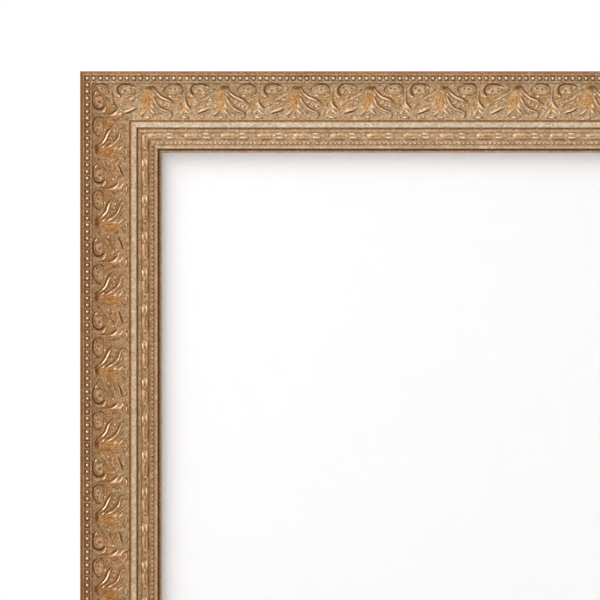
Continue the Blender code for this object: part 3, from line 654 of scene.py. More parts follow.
# palmettes, scrolls and stems, carved on a cove
frieze = {
    "start": 7.6, "width": 23.1, "pitch": 46.1,
    "outerHeight": 25.2, "innerHeight": 17.4, "cove": 2.0, "thick": 1.3,
    "firstPalmette": 42.5,  # from the corner a side starts at
    "leftLast": 50.8,  # the left side's last palmette, from the upper corner
    "grid": 0.33, "gridAlong": 0.36, "tileCell": 0.1, "underSteps": 5, "folds": 5,
    "soften": 1.1, "rise": 1.0, "edge": 0.6,  # the relief fades out this far from either edge
    "lean": 1.4, "leanRate": 2.1,  # lean of the upper part towards the side's end, and how fast it goes
    "wobble": 0.25, "wobbleSize": 14, "stipple": 0.075, "stippleSize": 1.5, "seeds": (11, 21, 31),
    # the palmette's body: half width, how it widens, where it begins and ends, its flutes and ripples
    "fan": {
        "half": 1.5, "widen": 0.24, "widenFrom": 4, "widenOver": 12,
        "begins": (3.5, 5.5), "ends": (19.5, 15.0),
        "rise": 0.85, "flute": 0.1, "flutes": 1.6, "ripple": 0.06, "ripples": 2.6,
    },
    "knot": {"place": (0.1, 2.7), "half": (2.1, 1.05), "ripples": (3.3, 2.6)},  # the dark knot above it
    # ridges out from the palmette's axis: place, half width and height;
    # "both" is drawn on either side of the axis
    "ridges": {
        "both": [
            # hood over the knot, the fan under the palmette, and the stem with its lower leaves
            [(0.0, 1.3, 0.5, 0.4), (1.8, 1.5, 0.5, 0.45), (2.9, 2.6, 0.4, 0.4)],
            [(1.2, 16.2, 0.6, 0.8), (2.8, 18.0, 0.7, 0.95), (4.7, 19.6, 0.4, 0.6)],
            [(0.0, 17.4, 0.7, 0.7), (0.0, 19.4, 0.6, 0.6), (0.0, 20.4, 0.4, 0.4)],
            [(23.05, 8.0, 0.4, 0.5), (23.05, 11.5, 0.55, 0.8), (23.05, 12.8, 0.5, 0.7)],
            [(22.9, 15.8, 0.6, 0.8), (21.8, 17.4, 0.7, 1.0), (20.3, 19.2, 0.3, 0.5)],
            [(8.6, 3.2, 0.35, 0.4), (9.0, 5.2, 0.5, 0.55), (11.0, 7.2, 0.5, 0.55), (14.0, 8.3, 0.35, 0.35)],
            [(16.8, 13.8, 0.3, 0.35), (16.2, 15.2, 0.55, 0.55), (14.6, 15.9, 0.35, 0.35)],
            [(18.3, 17.0, 0.3, 0.3), (18.0, 18.8, 0.5, 0.5), (17.0, 20.4, 0.35, 0.35)],
        ],
        "right": [
            # upper strand, its rib, lower strand that ends in a curl, two fine ribs under it, fan ribs
            [(3.6, 5.0, 0.4, 0.5), (5.2, 6.3, 0.6, 1.1), (6.9, 7.8, 0.76, 1.4), (8.7, 8.9, 0.76, 1.4),
             (11.0, 9.8, 0.72, 1.35), (13.5, 10.9, 0.65, 1.2), (15.6, 12.2, 0.43, 0.8),
             (17.6, 13.2, 0.22, 0.4)],
            [(1.6, 5.4, 0.36, 0.7), (2.9, 6.8, 0.5, 0.95), (4.0, 7.6, 0.47, 0.9), (5.9, 9.2, 0.47, 0.85),
             (7.4, 10.2, 0.36, 0.6)],
            [(2.8, 8.6, 0.36, 0.7), (3.4, 9.9, 0.54, 1.1), (4.2, 11.5, 0.61, 1.2), (5.2, 13.1, 0.65, 1.2),
             (6.6, 14.8, 0.65, 1.2), (8.4, 16.2, 0.65, 1.2), (10.6, 17.1, 0.61, 1.15),
             (12.6, 17.8, 0.58, 1.1), (13.9, 18.8, 0.54, 1.05), (14.1, 20.1, 0.5, 0.95),
             (13.2, 21.3, 0.4, 0.8)],
            [(1.9, 12.0, 0.43, 0.95), (2.5, 14.2, 0.47, 0.95), (4.0, 16.6, 0.36, 0.6),
             (6.2, 18.8, 0.25, 0.4)],
            [(3.3, 13.4, 0.29, 0.5), (5.2, 16.1, 0.36, 0.6), (8.0, 18.2, 0.32, 0.5),
             (11.0, 19.6, 0.22, 0.3)],
            [(2.2, 16.0, 0.29, 0.5), (4.0, 17.9, 0.32, 0.6), (5.8, 19.2, 0.22, 0.3)],
            [(1.4, 8.8, 0.35, 0.7), (2.4, 10.6, 0.4, 1.0), (3.2, 12.6, 0.35, 0.8)],
            [(0.8, 13.6, 0.35, 0.7), (1.6, 15.6, 0.45, 1.05), (2.4, 17.2, 0.4, 0.9)],
            # the stem, its leaf and the tendril under the scroll
            [(22.0, 1.0, 0.35, 0.4), (22.3, 4.0, 0.4, 0.5), (22.7, 7.5, 0.45, 0.6),
             (22.95, 10.5, 0.5, 0.7)],
            [(22.8, 12.0, 0.36, 0.5), (21.4, 14.0, 0.5, 0.55), (20.0, 15.6, 0.36, 0.4)],
            [(21.8, 2.6, 0.25, 0.4), (22.0, 5.0, 0.36, 0.6), (20.8, 7.6, 0.43, 0.7),
             (18.2, 8.6, 0.36, 0.6)],
        ],
        "left": [
            # two soft strands, the lit lower strand, its curl, the stem's leaf and the tendril
            [(4.8, 6.4, 0.4, 0.35), (7.4, 7.9, 0.5, 0.5), (9.2, 9.3, 0.5, 0.5), (11.5, 10.6, 0.4, 0.4)],
            [(6.0, 8.6, 0.35, 0.3), (8.6, 10.6, 0.45, 0.45), (11.6, 12.3, 0.4, 0.4),
             (14.0, 13.2, 0.3, 0.3)],
            [(7.2, 15.5, 0.35, 0.4), (8.7, 16.1, 0.6, 1.0), (11.0, 16.9, 0.65, 1.2), (13.0, 17.6, 0.58, 1.1),
             (15.2, 18.5, 0.32, 0.5)],
            [(14.2, 19.6, 0.36, 0.5), (13.5, 21.0, 0.43, 0.6), (12.0, 21.6, 0.43, 0.6),
             (10.9, 20.6, 0.36, 0.55), (11.6, 19.4, 0.29, 0.4)],
            [(23.2, 11.4, 0.5, 0.9), (22.5, 13.2, 0.68, 1.35), (21.2, 14.8, 0.68, 1.35),
             (19.8, 16.1, 0.43, 0.8), (19.0, 16.9, 0.22, 0.4)],
            [(22.6, 3.0, 0.25, 0.4), (22.0, 6.0, 0.36, 0.55), (20.6, 7.8, 0.47, 0.8), (18.4, 8.2, 0.5, 0.9),
             (17.0, 7.6, 0.29, 0.5)],
        ],
    },
    # the oval in the scroll: place and half sizes; its rim has half width and height too
    "scroll": {
        "oval": (14.6, 3.9, 5.0, 2.9), "rise": 0.3, "rim": (14.6, 3.9, 4.9, 2.8, 0.5, 0.6), "heartInset": 0.4,
    },
    "stemCore": (23.05, 15.6, 1.5, 3.6, 0.7),
    # bosses: place, half sizes and height
    "bosses": {
        "both": [(0.0, 3.0, 1.7, 0.9, 0.7), (0.0, 21.4, 1.7, 0.65, 1.0), (23.05, 21.4, 1.9, 0.7, 1.0)],
        "right": [
            (6.4, 10.2, 0.8, 0.75, 0.9), (8.6, 12.2, 0.95, 0.85, 1.05), (11.0, 13.7, 0.95, 0.85, 1.05),
            (13.5, 14.3, 0.95, 0.8, 1.05), (9.8, 11.4, 0.6, 0.5, 0.6), (13.9, 7.8, 0.9, 0.6, 0.7),
            (19.0, 10.6, 1.0, 0.8, 0.6),
        ],
        "left": [
            (13.2, 8.8, 0.8, 0.7, 0.8), (7.0, 10.2, 0.9, 0.7, 0.9), (10.6, 12.9, 0.8, 0.7, 0.6),
            (17.0, 13.4, 0.8, 0.7, 0.95), (16.7, 5.6, 0.8, 0.7, 0.8), (12.3, 5.8, 0.8, 0.6, 0.8),
            (13.5, 4.2, 0.6, 0.5, 0.6), (8.2, 13.4, 0.7, 0.6, 0.6),
        ],
    },
    # painted highlights: lines and spots made bright, their last value how bright
    "paintedGleams": {
        "both": [
            [(0.0, 21.2, 0.5, 0.68), (1.0, 21.2, 0.42, 0.6)],
            [(23.05, 21.3, 0.55, 0.88), (21.9, 21.4, 0.5, 0.82)],
            [(23.05, 10.0, 0.4, 0.5), (23.05, 12.2, 0.5, 0.75)],
        ],
        "right": [
            [(4.9, 6.2, 0.5, 0.6), (6.2, 7.0, 0.62, 1.0), (7.8, 8.1, 0.68, 1.05), (9.1, 9.0, 0.66, 1.05),
             (10.5, 9.45, 0.66, 1.05), (12.0, 9.95, 0.6, 0.95), (13.2, 10.6, 0.54, 0.75),
             (14.4, 11.5, 0.42, 0.4)],
            [(2.4, 6.3, 0.45, 0.7), (3.3, 7.1, 0.55, 0.95), (4.2, 7.8, 0.4, 0.6)],
            [(3.2, 9.5, 0.45, 0.75), (4.0, 11.0, 0.6, 1.0), (4.8, 12.3, 0.5, 0.8), (5.8, 13.8, 0.42, 0.55),
             (7.4, 15.3, 0.45, 0.65), (9.0, 16.5, 0.5, 0.85), (10.4, 17.05, 0.48, 0.75),
             (12.6, 18.0, 0.42, 0.55), (13.3, 19.4, 0.42, 0.55), (13.1, 20.8, 0.4, 0.45)],
            [(1.8, 12.5, 0.4, 0.5), (2.1, 13.7, 0.6, 1.0), (2.6, 14.9, 0.5, 0.8), (3.3, 16.2, 0.3, 0.4)],
            [(1.2, 16.4, 0.4, 0.6), (2.0, 17.4, 0.5, 0.95), (3.2, 18.6, 0.48, 0.9), (4.2, 19.6, 0.35, 0.5)],
            [(3.6, 16.2, 0.3, 0.3), (4.5, 17.7, 0.35, 0.45), (5.3, 19.1, 0.3, 0.3)],
            [(21.5, 16.9, 0.45, 0.6), (20.9, 18.0, 0.58, 0.95), (20.2, 19.2, 0.5, 0.85)],
            [(22.0, 2.0, 0.35, 0.3), (22.4, 5.0, 0.4, 0.45), (22.8, 8.5, 0.45, 0.6)],
            [(17.0, 1.3, 0.3, 0.3), (18.4, 1.8, 0.5, 0.5), (19.3, 3.0, 0.4, 0.4)],
            [(13.3, 7.85, 0.55, 0.95), (14.2, 7.95, 0.55, 0.95)],
            [(10.7, 13.7, 0.55, 0.9), (11.2, 13.8, 0.55, 0.9)],
            [(13.3, 14.4, 0.6, 1.0), (13.8, 14.5, 0.6, 1.0)],
            [(8.4, 12.2, 0.5, 0.8), (8.9, 12.4, 0.5, 0.8)],
            [(6.2, 10.2, 0.5, 0.8), (6.7, 10.3, 0.45, 0.8)],
            [(4.9, 14.9, 0.3, 0.45), (6.4, 16.9, 0.36, 0.55), (8.2, 18.5, 0.32, 0.5),
             (9.8, 19.5, 0.25, 0.35)],
            [(17.3, 9.2, 0.45, 0.55), (18.4, 9.4, 0.45, 0.55)],
        ],
        "left": [
            [(14.7, 17.9, 0.42, 0.55), (13.0, 17.15, 0.55, 0.76), (11.2, 16.65, 0.55, 0.76),
             (9.6, 16.1, 0.5, 0.5), (8.2, 15.4, 0.5, 0.38), (6.8, 14.6, 0.4, 0.34)],
            [(23.0, 12.5, 0.6, 0.75), (22.6, 13.6, 0.9, 1.12), (21.7, 14.8, 0.95, 1.2),
             (20.7, 15.7, 0.82, 1.1), (19.7, 16.4, 0.55, 0.75)],
            [(22.7, 16.6, 0.5, 0.7), (22.0, 17.6, 0.64, 1.1), (21.0, 18.4, 0.58, 1.0),
             (19.8, 19.2, 0.4, 0.6)],
            [(19.5, 16.8, 0.35, 0.4), (18.6, 17.7, 0.35, 0.45)],
            [(21.2, 1.4, 0.45, 0.48), (21.9, 2.6, 0.55, 0.58), (22.1, 4.4, 0.6, 0.63), (21.7, 6.0, 0.6, 0.65),
             (20.5, 7.4, 0.55, 0.7), (18.9, 8.2, 0.55, 0.9), (18.4, 8.3, 0.5, 0.88)],
            [(2.4, 17.0, 0.42, 0.5), (3.4, 18.2, 0.5, 0.7), (4.4, 19.3, 0.5, 0.76)],
            [(11.2, 1.6, 0.4, 0.5), (10.4, 2.2, 0.6, 0.85), (9.4, 3.2, 0.45, 0.6)],
            [(6.3, 10.3, 0.55, 0.9), (7.0, 10.3, 0.55, 0.9)],
            [(16.4, 13.4, 0.58, 0.95), (16.9, 13.5, 0.55, 0.95)],
            [(16.8, 5.4, 0.55, 0.85), (17.3, 5.6, 0.5, 0.85)],
            [(12.2, 5.7, 0.5, 0.75), (12.7, 5.7, 0.5, 0.75)],
            [(10.4, 3.5, 0.3, 0.5), (11.2, 3.6, 0.3, 0.5)],
            [(5.2, 6.1, 0.9, 0.4), (7.4, 7.7, 1.2, 0.47), (9.4, 9.0, 1.2, 0.46), (11.6, 10.2, 1.0, 0.42),
             (14.0, 11.2, 0.7, 0.36)],
            [(6.8, 14.1, 0.45, 0.42), (9.0, 15.0, 0.5, 0.52), (11.5, 15.8, 0.4, 0.42)],
            [(12.3, 13.9, 0.45, 0.65), (12.9, 14.0, 0.45, 0.65)],
        ],
    },
    # lines cut into the ground and darkened, partly patina and partly painted shade, their last value how
    # dark
    "cuts": {
        "both": [],
        "right": [
            [(3.5, 3.4, 0.29, 0.8), (5.5, 5.2, 0.32, 0.9), (7.0, 6.6, 0.35, 1.0), (8.9, 7.8, 0.32, 1.0),
             (11.0, 8.4, 0.32, 0.9), (13.5, 9.4, 0.35, 1.0), (15.2, 10.7, 0.35, 1.0), (16.6, 12.1, 0.29, 0.8),
             (18.3, 13.0, 0.19, 0.4)],
            [(3.8, 8.3, 0.26, 0.7), (5.2, 10.6, 0.29, 0.8), (6.6, 12.8, 0.29, 0.85), (8.2, 14.5, 0.32, 0.9),
             (10.5, 15.8, 0.32, 0.9), (13.0, 16.7, 0.32, 0.8), (14.9, 17.8, 0.32, 0.8),
             (15.4, 19.4, 0.29, 0.7), (14.9, 21.3, 0.19, 0.4)],
            [(3.0, 5.9, 0.24, 0.4), (5.0, 7.8, 0.28, 0.5), (7.0, 9.4, 0.28, 0.4), (9.0, 10.4, 0.24, 0.3)],
            [(9.1, 4.6, 0.5, 0.9), (9.2, 3.4, 0.55, 1.0), (9.95, 2.3, 0.5, 0.85), (11.2, 1.45, 0.45, 0.85),
             (12.7, 0.75, 0.45, 0.95), (14.6, 0.35, 0.42, 1.0), (16.6, 0.35, 0.45, 1.05),
             (18.1, 0.7, 0.5, 1.0), (19.35, 1.5, 0.5, 0.95), (20.3, 2.6, 0.45, 0.75), (20.95, 4.0, 0.4, 0.6),
             (21.0, 5.4, 0.5, 0.85), (20.5, 6.6, 0.45, 0.8), (19.8, 7.2, 0.35, 0.5)],
            [(1.6, 1.9, 0.45, 0.8), (2.6, 2.3, 0.5, 0.9), (3.4, 3.2, 0.4, 0.8)],
            [(9.4, 5.0, 0.4, 0.7), (11.1, 6.4, 0.4, 0.5), (12.8, 7.0, 0.4, 0.45), (16.0, 7.3, 0.4, 0.45),
             (19.4, 7.3, 0.36, 0.5)],
            [(0.5, 7.0, 0.28, 0.6), (0.9, 10.5, 0.34, 0.9), (1.1, 14.0, 0.3, 0.8)],
            [(4.2, 14.2, 0.28, 0.6), (5.6, 16.4, 0.34, 0.8), (7.4, 18.3, 0.34, 0.7),
             (9.2, 19.6, 0.25, 0.45)],
            [(2.7, 15.6, 0.28, 0.6), (3.9, 17.4, 0.32, 0.8), (5.2, 19.0, 0.25, 0.6)],
            [(17.0, 8.6, 0.25, 0.3), (18.4, 10.2, 0.3, 0.4), (19.8, 11.0, 0.25, 0.3)],
            [(20.9, 12.5, 0.38, 0.6), (20.4, 13.5, 0.46, 0.8), (20.2, 14.8, 0.34, 0.5)],
        ],
        "left": [
            [(7.6, 16.2, 0.35, 0.9), (9.2, 17.0, 0.45, 1.05), (11.0, 17.7, 0.48, 1.1),
             (13.0, 18.5, 0.42, 1.0), (15.1, 19.4, 0.28, 0.6)],
            [(16.8, 7.9, 0.35, 0.45), (17.8, 7.3, 0.45, 0.8), (18.95, 6.3, 0.6, 1.05),
             (19.8, 5.0, 0.66, 1.15), (20.15, 3.6, 0.66, 1.15), (19.85, 2.2, 0.6, 1.1),
             (18.85, 1.2, 0.52, 1.0), (17.3, 0.6, 0.45, 1.0), (15.4, 0.35, 0.45, 1.05),
             (13.4, 0.45, 0.45, 1.0), (11.4, 0.9, 0.45, 0.95), (9.9, 1.5, 0.42, 0.85),
             (8.7, 2.3, 0.35, 0.6)],
            [(0.6, 1.9, 0.35, 0.5), (1.6, 2.6, 0.35, 0.4), (3.0, 4.6, 0.4, 0.3), (3.4, 5.6, 0.3, 0.25)],
            [(5.6, 7.5, 0.3, 0.25), (8.0, 9.2, 0.35, 0.32), (10.6, 11.0, 0.35, 0.32),
             (13.4, 12.2, 0.25, 0.3)],
            [(22.9, 5.0, 0.3, 0.5), (22.5, 8.0, 0.35, 0.6), (22.0, 10.5, 0.35, 0.7), (21.2, 12.5, 0.42, 0.9),
             (20.1, 14.0, 0.45, 1.0), (19.0, 15.3, 0.35, 0.7)],
            [(2.8, 19.0, 0.28, 0.5), (3.9, 19.9, 0.36, 0.8), (5.0, 20.7, 0.24, 0.5)],
            [(10.6, 19.8, 0.24, 0.5), (10.5, 21.2, 0.28, 0.6)],
            [(5.0, 5.0, 0.24, 0.35), (8.4, 6.5, 0.28, 0.4), (12.4, 9.2, 0.28, 0.4),
             (15.4, 11.2, 0.24, 0.3)],
            [(0.6, 6.5, 0.28, 0.6), (1.4, 10.0, 0.34, 0.9), (2.2, 13.5, 0.34, 0.9), (2.8, 16.2, 0.28, 0.7)],
            [(0.1, 8.0, 0.26, 0.6), (0.3, 12.0, 0.3, 0.85), (0.5, 16.0, 0.28, 0.7)],
            [(2.6, 7.6, 0.26, 0.4), (3.2, 10.4, 0.3, 0.55), (3.9, 13.2, 0.26, 0.5)],
            [(6.4, 13.3, 0.28, 0.4), (9.0, 14.4, 0.34, 0.6), (12.0, 15.3, 0.28, 0.45)],
            [(9.4, 10.3, 0.28, 0.45), (12.0, 11.6, 0.34, 0.6), (15.0, 12.8, 0.28, 0.5)],
            [(16.2, 14.3, 0.4, 0.6), (14.8, 13.5, 0.45, 0.65), (13.4, 12.8, 0.32, 0.4)],
        ],
    },
    # dark pits: place, radius
    "pits": {
        "both": [(3.4, 20.9, 0.6)],
        "right": [
            (13.1, 3.3, 0.75), (15.8, 3.8, 0.85), (18.3, 2.9, 0.7), (14.9, 14.6, 0.5), (10.2, 10.9, 0.6),
            (20.5, 21.6, 0.6),
        ],
        "left": [
            (15.2, 4.5, 0.9), (11.9, 3.3, 0.75), (11.1, 4.9, 0.8), (9.5, 4.1, 0.65), (17.4, 3.1, 0.6),
            (5.3, 3.9, 0.95), (9.0, 11.2, 0.7), (4.4, 16.0, 0.7), (20.6, 21.6, 0.9),
        ],
    },
    "cutDeep": 0.5, "pitDeep": 0.3, "pitShape": 0.8,
    # how strongly each kind of place is darkened, brightened, made pale or left dull
    "creaseDark": 0.45, "knotDark": 1.15, "pitDark": 0.85, "paintedFlankShade": 0.25,
    "upperDark": 0.1, "innerDark": 0.19, "edgeDark": 0.4,
    "paintedFlankLight": 0.4, "ridgeBright": 0.5, "heartBright": 0.6,
    "innerPale": 0.22, "groundOlive": 0.14, "innerOlive": 0.16,
    # soft dark and ochre washes: place either side of the axis, half sizes, strength
    "shades": [
        (1.2, 3.4, 4.0, 2.0, 0.3), (-9.5, 9.0, 4.5, 3.2, 0.2), (-17.5, 5.0, 3.5, 4.0, 0.14),
        (13.5, 12.5, 5.0, 3.0, 0.12), (17.6, 9.6, 3.2, 2.8, 0.2), (-19.4, 10.0, 2.6, 2.8, 0.2),
        (21.4, 15.0, 2.4, 4.0, 0.15), (-22.4, 9.0, 1.4, 5.0, 0.15),
    ],
    "washes": [
        (-0.2, 11.0, 4.6, 6.8, 1.0), (18.4, 9.8, 3.8, 2.2, 0.75), (-18.6, 9.8, 3.4, 2.2, 0.8),
        (22.0, 16.6, 2.4, 4.0, 0.8), (-22.4, 17.0, 1.8, 3.6, 0.6), (1.6, 4.8, 3.4, 2.2, 0.5),
        (10.5, 13.0, 3.4, 1.8, 0.45), (-13.0, 13.0, 3.4, 1.8, 0.5), (15.4, 4.3, 3.8, 2.2, 0.3),
        (-13.6, 4.3, 3.8, 2.2, 0.34),
    ],
}


def palmetteFan(look, u, v):
    # it widens downwards, and its flutes with it
    spread = look["half"] + look["widen"] * np.clip(v - look["widenFrom"], 0, look["widenOver"])
    body = hump(u, 0, spread, 4) * ramp(v, *look["begins"]) * ramp(v, *look["ends"])
    flutes = look["flute"] * np.cos(2 * math.pi * u / spread * look["flutes"])
    return body * (look["rise"] + flutes + look["ripple"] * np.cos(v * look["ripples"]))


def palmetteKnot(look, u, v):
    (cu, cv), (ru, rv), (nu, nv) = look["place"], look["half"], look["ripples"]
    return hump(u, cu, ru) * hump(v, cv, rv) * (0.8 + 0.4 * np.cos(nu * u) * np.cos(nv * v))


def friezeTile(look):
    # one repeat, the palmette's axis in its middle
    u, v = tileGrid(look)
    u = u - look["pitch"] / 2
    out, right = np.abs(u), u > 0
    scroll = look["scroll"]

    def drawn(kind, draw):
        # everything of a kind, each list on its own side of the axis
        field = np.zeros_like(u)
        for place, here in (("both", True), ("right", right), ("left", ~right)):
            for item in look[kind][place]:
                field = np.maximum(field, draw(item) * here)
        return field

    def lines(kind):
        return drawn(kind, lambda knots: stroke(out, v, knots))

    def scrollBoss(inset, rise):
        cu, cv, ru, rv = scroll["oval"]
        return boss(out, v, cu, cv, ru - inset, rv - inset, rise)

    def washed(kind):
        return np.maximum.reduce([patch(u, v, *wash) for wash in look[kind]])

    # the relief
    raised = lines("ridges")
    lumps = drawn("bosses", lambda item: boss(out, v, *item))
    pits = drawn("pits", lambda item: boss(out, v, *item, item[2] * look["pitShape"], 1.0))
    rim = stroke(out, v, ovalKnots(*scroll["rim"]), 1)
    forms = [scrollBoss(0, scroll["rise"]), raised, rim, lumps, boss(out, v, *look["stemCore"])]
    top = np.maximum.reduce(forms + [palmetteFan(look["fan"], u, v)])
    cuts = lines("cuts") * np.clip(1.4 - top, 0, 1)  # cuts end where they meet a high form
    top = soften(top - cuts * look["cutDeep"] - pits * look["pitDeep"], look["soften"])

    # patina and painted shade in what lies low, and painted shade on the flanks away from the light
    crease = ramp(soften(top, 3.2) - top, 0.03, 0.25)
    slope = soften((np.roll(top, -1, 1) - np.roll(top, 1, 1)) / (2 * look["tileCell"]), 1.5)
    hollow = np.maximum.reduce([
        soften(cuts, 1.2),
        crease * look["creaseDark"],
        palmetteKnot(look["knot"], u, v) * look["knotDark"],
        soften(pits, 1.5) * look["pitDark"],
        np.clip(-slope, 0, 1) * look["paintedFlankShade"],
    ])
    ochre = washed("washes")
    shade = washed("shades") + look["upperDark"] * ramp(v, 11, 0) + look["innerDark"] * ramp(v, 13, 19)

    # rubbed tops, painted highlight on the flanks towards the light, and painted gleams
    lit = np.clip(slope * 1.4 - 0.2, 0, 1) * ramp(top, 0, 0.5) * (1 - 0.3 * ochre)
    ridgeTops = ramp(soften(np.maximum(raised, lumps), 1.2), 0, 1.2)
    paintedGleams = soften(lines("paintedGleams"), 1.2) * (1.05 + 0.14 * np.cos(2.1 * u + 0.9 * v))
    proud = np.maximum.reduce([
        ridgeTops * look["ridgeBright"] + lit * look["paintedFlankLight"],
        scrollBoss(scroll["heartInset"], look["heartBright"]) * (1 - np.clip(pits + cuts, 0, 1)),
        paintedGleams,
    ])
    dull = look["groundOlive"] + look["innerOlive"] * ramp(v, 12, 17)
    return {
        "top": top,
        "ochre": ochre,
        "olive": ramp(soften(top, 2), 0.3, 0) * dull * (1 - 0.8 * ochre),
        "proud": np.clip(proud, 0, 1),
        "hollow": np.clip(hollow + shade * (1 - hollow) * (1 - 0.7 * proud), 0, 1),
    }


def waver(along, inward, seed, size):
    # a slow, repeatable drift, so that no two repeats are quite alike
    waves, fullTurn = 7, 2 * math.pi
    dice = np.random.default_rng(seed)
    drift = np.zeros(np.broadcast(along, inward).shape)
    for wave in range(waves):
        angle = dice.uniform(0, fullTurn)
        length = dice.uniform(0.5, 2.2) * size
        shift = dice.uniform(0, fullTurn)
        way = along * math.cos(angle) + inward * math.sin(angle)
        drift = drift + np.sin(way * fullTurn / length + shift)
    return drift * 2 / waves


def makeFriezes(look):
    tile = friezeTile(look)
    width = look["width"]
    count = round(width / look["grid"])
    share = np.linspace(0, 1, count + 1)
    slant = look["outerHeight"] + (look["innerHeight"] - look["outerHeight"]) * share
    ground = slant - 4 * look["cove"] * share * (1 - share)
    fade = np.clip(np.minimum(share, 1 - share) * width / look["edge"], 0, 1)
    upper = np.clip(share * look["leanRate"], 0, 1)
    lean = look["lean"] * (1 - upper ** 2 * (3 - 2 * upper))
    inward = look["start"] + share * width
    under = np.linspace(count, 0, look["underSteps"]).astype(int)  # the strip's underside follows the cove
    ring = np.concatenate([inward, inward[under]])
    smoothOf = [True] * count + [False] * (len(under) + 1)
    for number, (side, way) in enumerate(sides.items()):
        half = way["length"] / 2
        stops, along = stripGrid(side, inward, inward.mean(), look["gridAlong"])
        axis = half - look["leftLast"] if side == "left" else look["firstPalmette"] - half
        seedU, seedV, seedStipple = (seed + number for seed in look["seeds"])
        driftU = look["wobble"] * waver(along, inward[None, :], seedU, look["wobbleSize"])
        driftV = look["wobble"] * waver(along, inward[None, :], seedV, look["wobbleSize"]) * fade
        stipple = look["stipple"] * waver(along, inward[None, :], seedStipple, look["stippleSize"]) * fade
        u = (along + driftU - lean - axis) / look["pitch"] + 0.5
        v = share[None, :] + driftV / width
        relief = sampleTile(tile["top"], u, v) * look["rise"] * fade + stipple
        base = np.broadcast_to(ground[under] - look["thick"], (len(stops), len(under)))
        marks = {mark: sampleTile(tile[mark], u, v) for mark in ("proud", "hollow", "ochre", "olive")}
        marks["hollow"] = np.maximum(marks["hollow"], (1 - fade) * look["edgeDark"])
        marks["pale"] = look["innerPale"] * ramp(v * width, 13, 20)
        marks = withSides(marks, len(under))
        height = np.hstack([ground + relief, base])
        shell = sweepSide(side, ring, height, stops, marks, [0] * len(ring), smoothOf, look["folds"])
        makePiece("carved_frieze_" + side, [shell], ["frieze"], ["frieze_" + side])


makeFriezes(frieze)
print("friezes: 4")


# round beads in a channel
beading = {
    "start": 2.72, "width": 3.48, "centre": 4.42, "pitch": 4.17, "radius": 1.42, "rise": 1.75,
    "sink": 0.15,  # how far a bead's foot is below the channel
    "channel": 25.5, "dish": 0.35, "thick": 1.2, "grid": 0.45, "across": 8, "folds": 6,
    "around": 16, "rings": 6, "uneven": 0.07, "stray": 0.05, "seed": 40,
    "channelMap": 0.8, "beadMap": (0.81, 0.19), "beadRows": 3,  # parts of the map, and its rows of beads
    "channelMarks": {"ochre": 0.1, "pale": 0.06, "olive": 0.06, "proud": 0.0},
    "beadMarks": {"ochre": 0.15, "pale": 0.15},
}


def channelShell(look, side, spots):
    # the strip under the beads, with painted shade close round each bead
    share = np.linspace(0, 1, look["across"] + 1)
    inward = look["start"] + share * look["width"]
    section = look["channel"] + look["dish"] * (2 * share - 1) ** 2
    ring = np.concatenate([inward, inward[[-1, 0]]])
    stops, along = stripGrid(side, inward, look["centre"], look["grid"])
    place = (along - spots[0]) / (spots[1] - spots[0])
    nearest = along - spots[np.clip(np.round(place).astype(int), 0, len(spots) - 1)]
    away = np.hypot(nearest, inward[None, :] - look["centre"])
    # the outer half of the channel is lighter
    tilt = np.clip((inward[None, :] - look["centre"]) / 1.7, -1, 1)
    clear = np.clip((away - look["radius"] - 0.05) / 0.5, 0, 1)
    # painted shade close round each bead, more on the upright sides
    dark = 0.76 + 0.1 * sides[side]["uprightShade"] + 0.12 * tilt - 0.6 * clear
    base = np.broadcast_to(section[[-1, 0]] - look["thick"], (len(stops), 2))
    height = np.hstack([np.broadcast_to(section, along.shape), base])
    marks = {**withSides({"hollow": dark}, 2), **look["channelMarks"]}
    smoothOf = [True] * look["across"] + [False] * 3
    strip = sweepSide(side, ring, height, stops, marks, [0] * len(ring), smoothOf, look["folds"])
    lower = (1, look["channelMap"])
    strip["rows"] = [(*row[:3], np.reshape(row[3], (-1, 2)) * lower) for row in strip["rows"]]
    return strip


def beadShell(look, side, spot, dice, cell, cells):
    # a dome in rings up to its tip; its place in the map is a flat picture of it in a cell of its own
    uprightShade = sides[side]["uprightShade"]
    turn = np.arange(look["around"]) * 2 * math.pi / look["around"]
    climb = np.linspace(0, 1, look["rings"] + 1)[:-1] * math.pi / 2
    flat = np.append(np.outer(1 - climb * 2 / math.pi, np.exp(1j * turn)), 0)
    flat = np.stack([flat.real, flat.imag], -1) * 0.42 + 0.5
    mapLow, mapTall = look["beadMap"]
    places = (cell + flat) / cells * (1, mapTall) + (0, mapLow)
    below = (cell + 0.04 + flat * 0.03) / cells * (1, mapTall) + (0, mapLow)
    wide, high, shine = 1 + look["uneven"] * dice.uniform(-1, 1, 3)
    shift = dice.normal(0, look["stray"], 2)
    radius = np.append(look["radius"] * wide * np.cos(climb), 0)
    lift = np.append(look["rise"] * high * np.sin(climb), look["rise"] * high) - look["sink"]
    x = spot + shift[0] + np.outer(radius, np.cos(turn))
    d = look["centre"] + shift[1] + np.outer(radius, np.sin(turn))
    h = look["channel"] + np.repeat(lift[:, None], len(turn), 1)
    grid = np.arange(len(climb) * len(turn)).reshape(len(climb), len(turn))
    points = onSide(side, x, d, h).reshape(-1, 3)[:grid.size + 1]  # one point of the last ring is the tip
    after = np.roll(grid, -1, 1)
    quads = np.stack([grid[:-1], grid[1:], after[1:], after[:-1]], -1).reshape(-1, 4)
    fan = np.stack([grid[-1], np.full(len(turn), grid.size), after[-1]], -1)
    foot = grid[:1]
    level = np.append(np.repeat(np.sin(climb), len(turn)), 1)
    rows = [(quads, 0, True, places[quads]), (fan, 0, True, places[fan]), (foot, 0, False, below[foot])]
    # painted highlight and rubbed wear on each bead's top, painted shade at its foot
    proud = (0.8 + 0.1 * uprightShade) * level ** 2 * shine
    hollow = np.clip(1.15 - level * 1.9, 0, 1)
    marks = {"uprightShade": uprightShade, "proud": proud, "hollow": hollow, **look["beadMarks"]}
    return {"points": points, "rows": rows, "marks": marks}


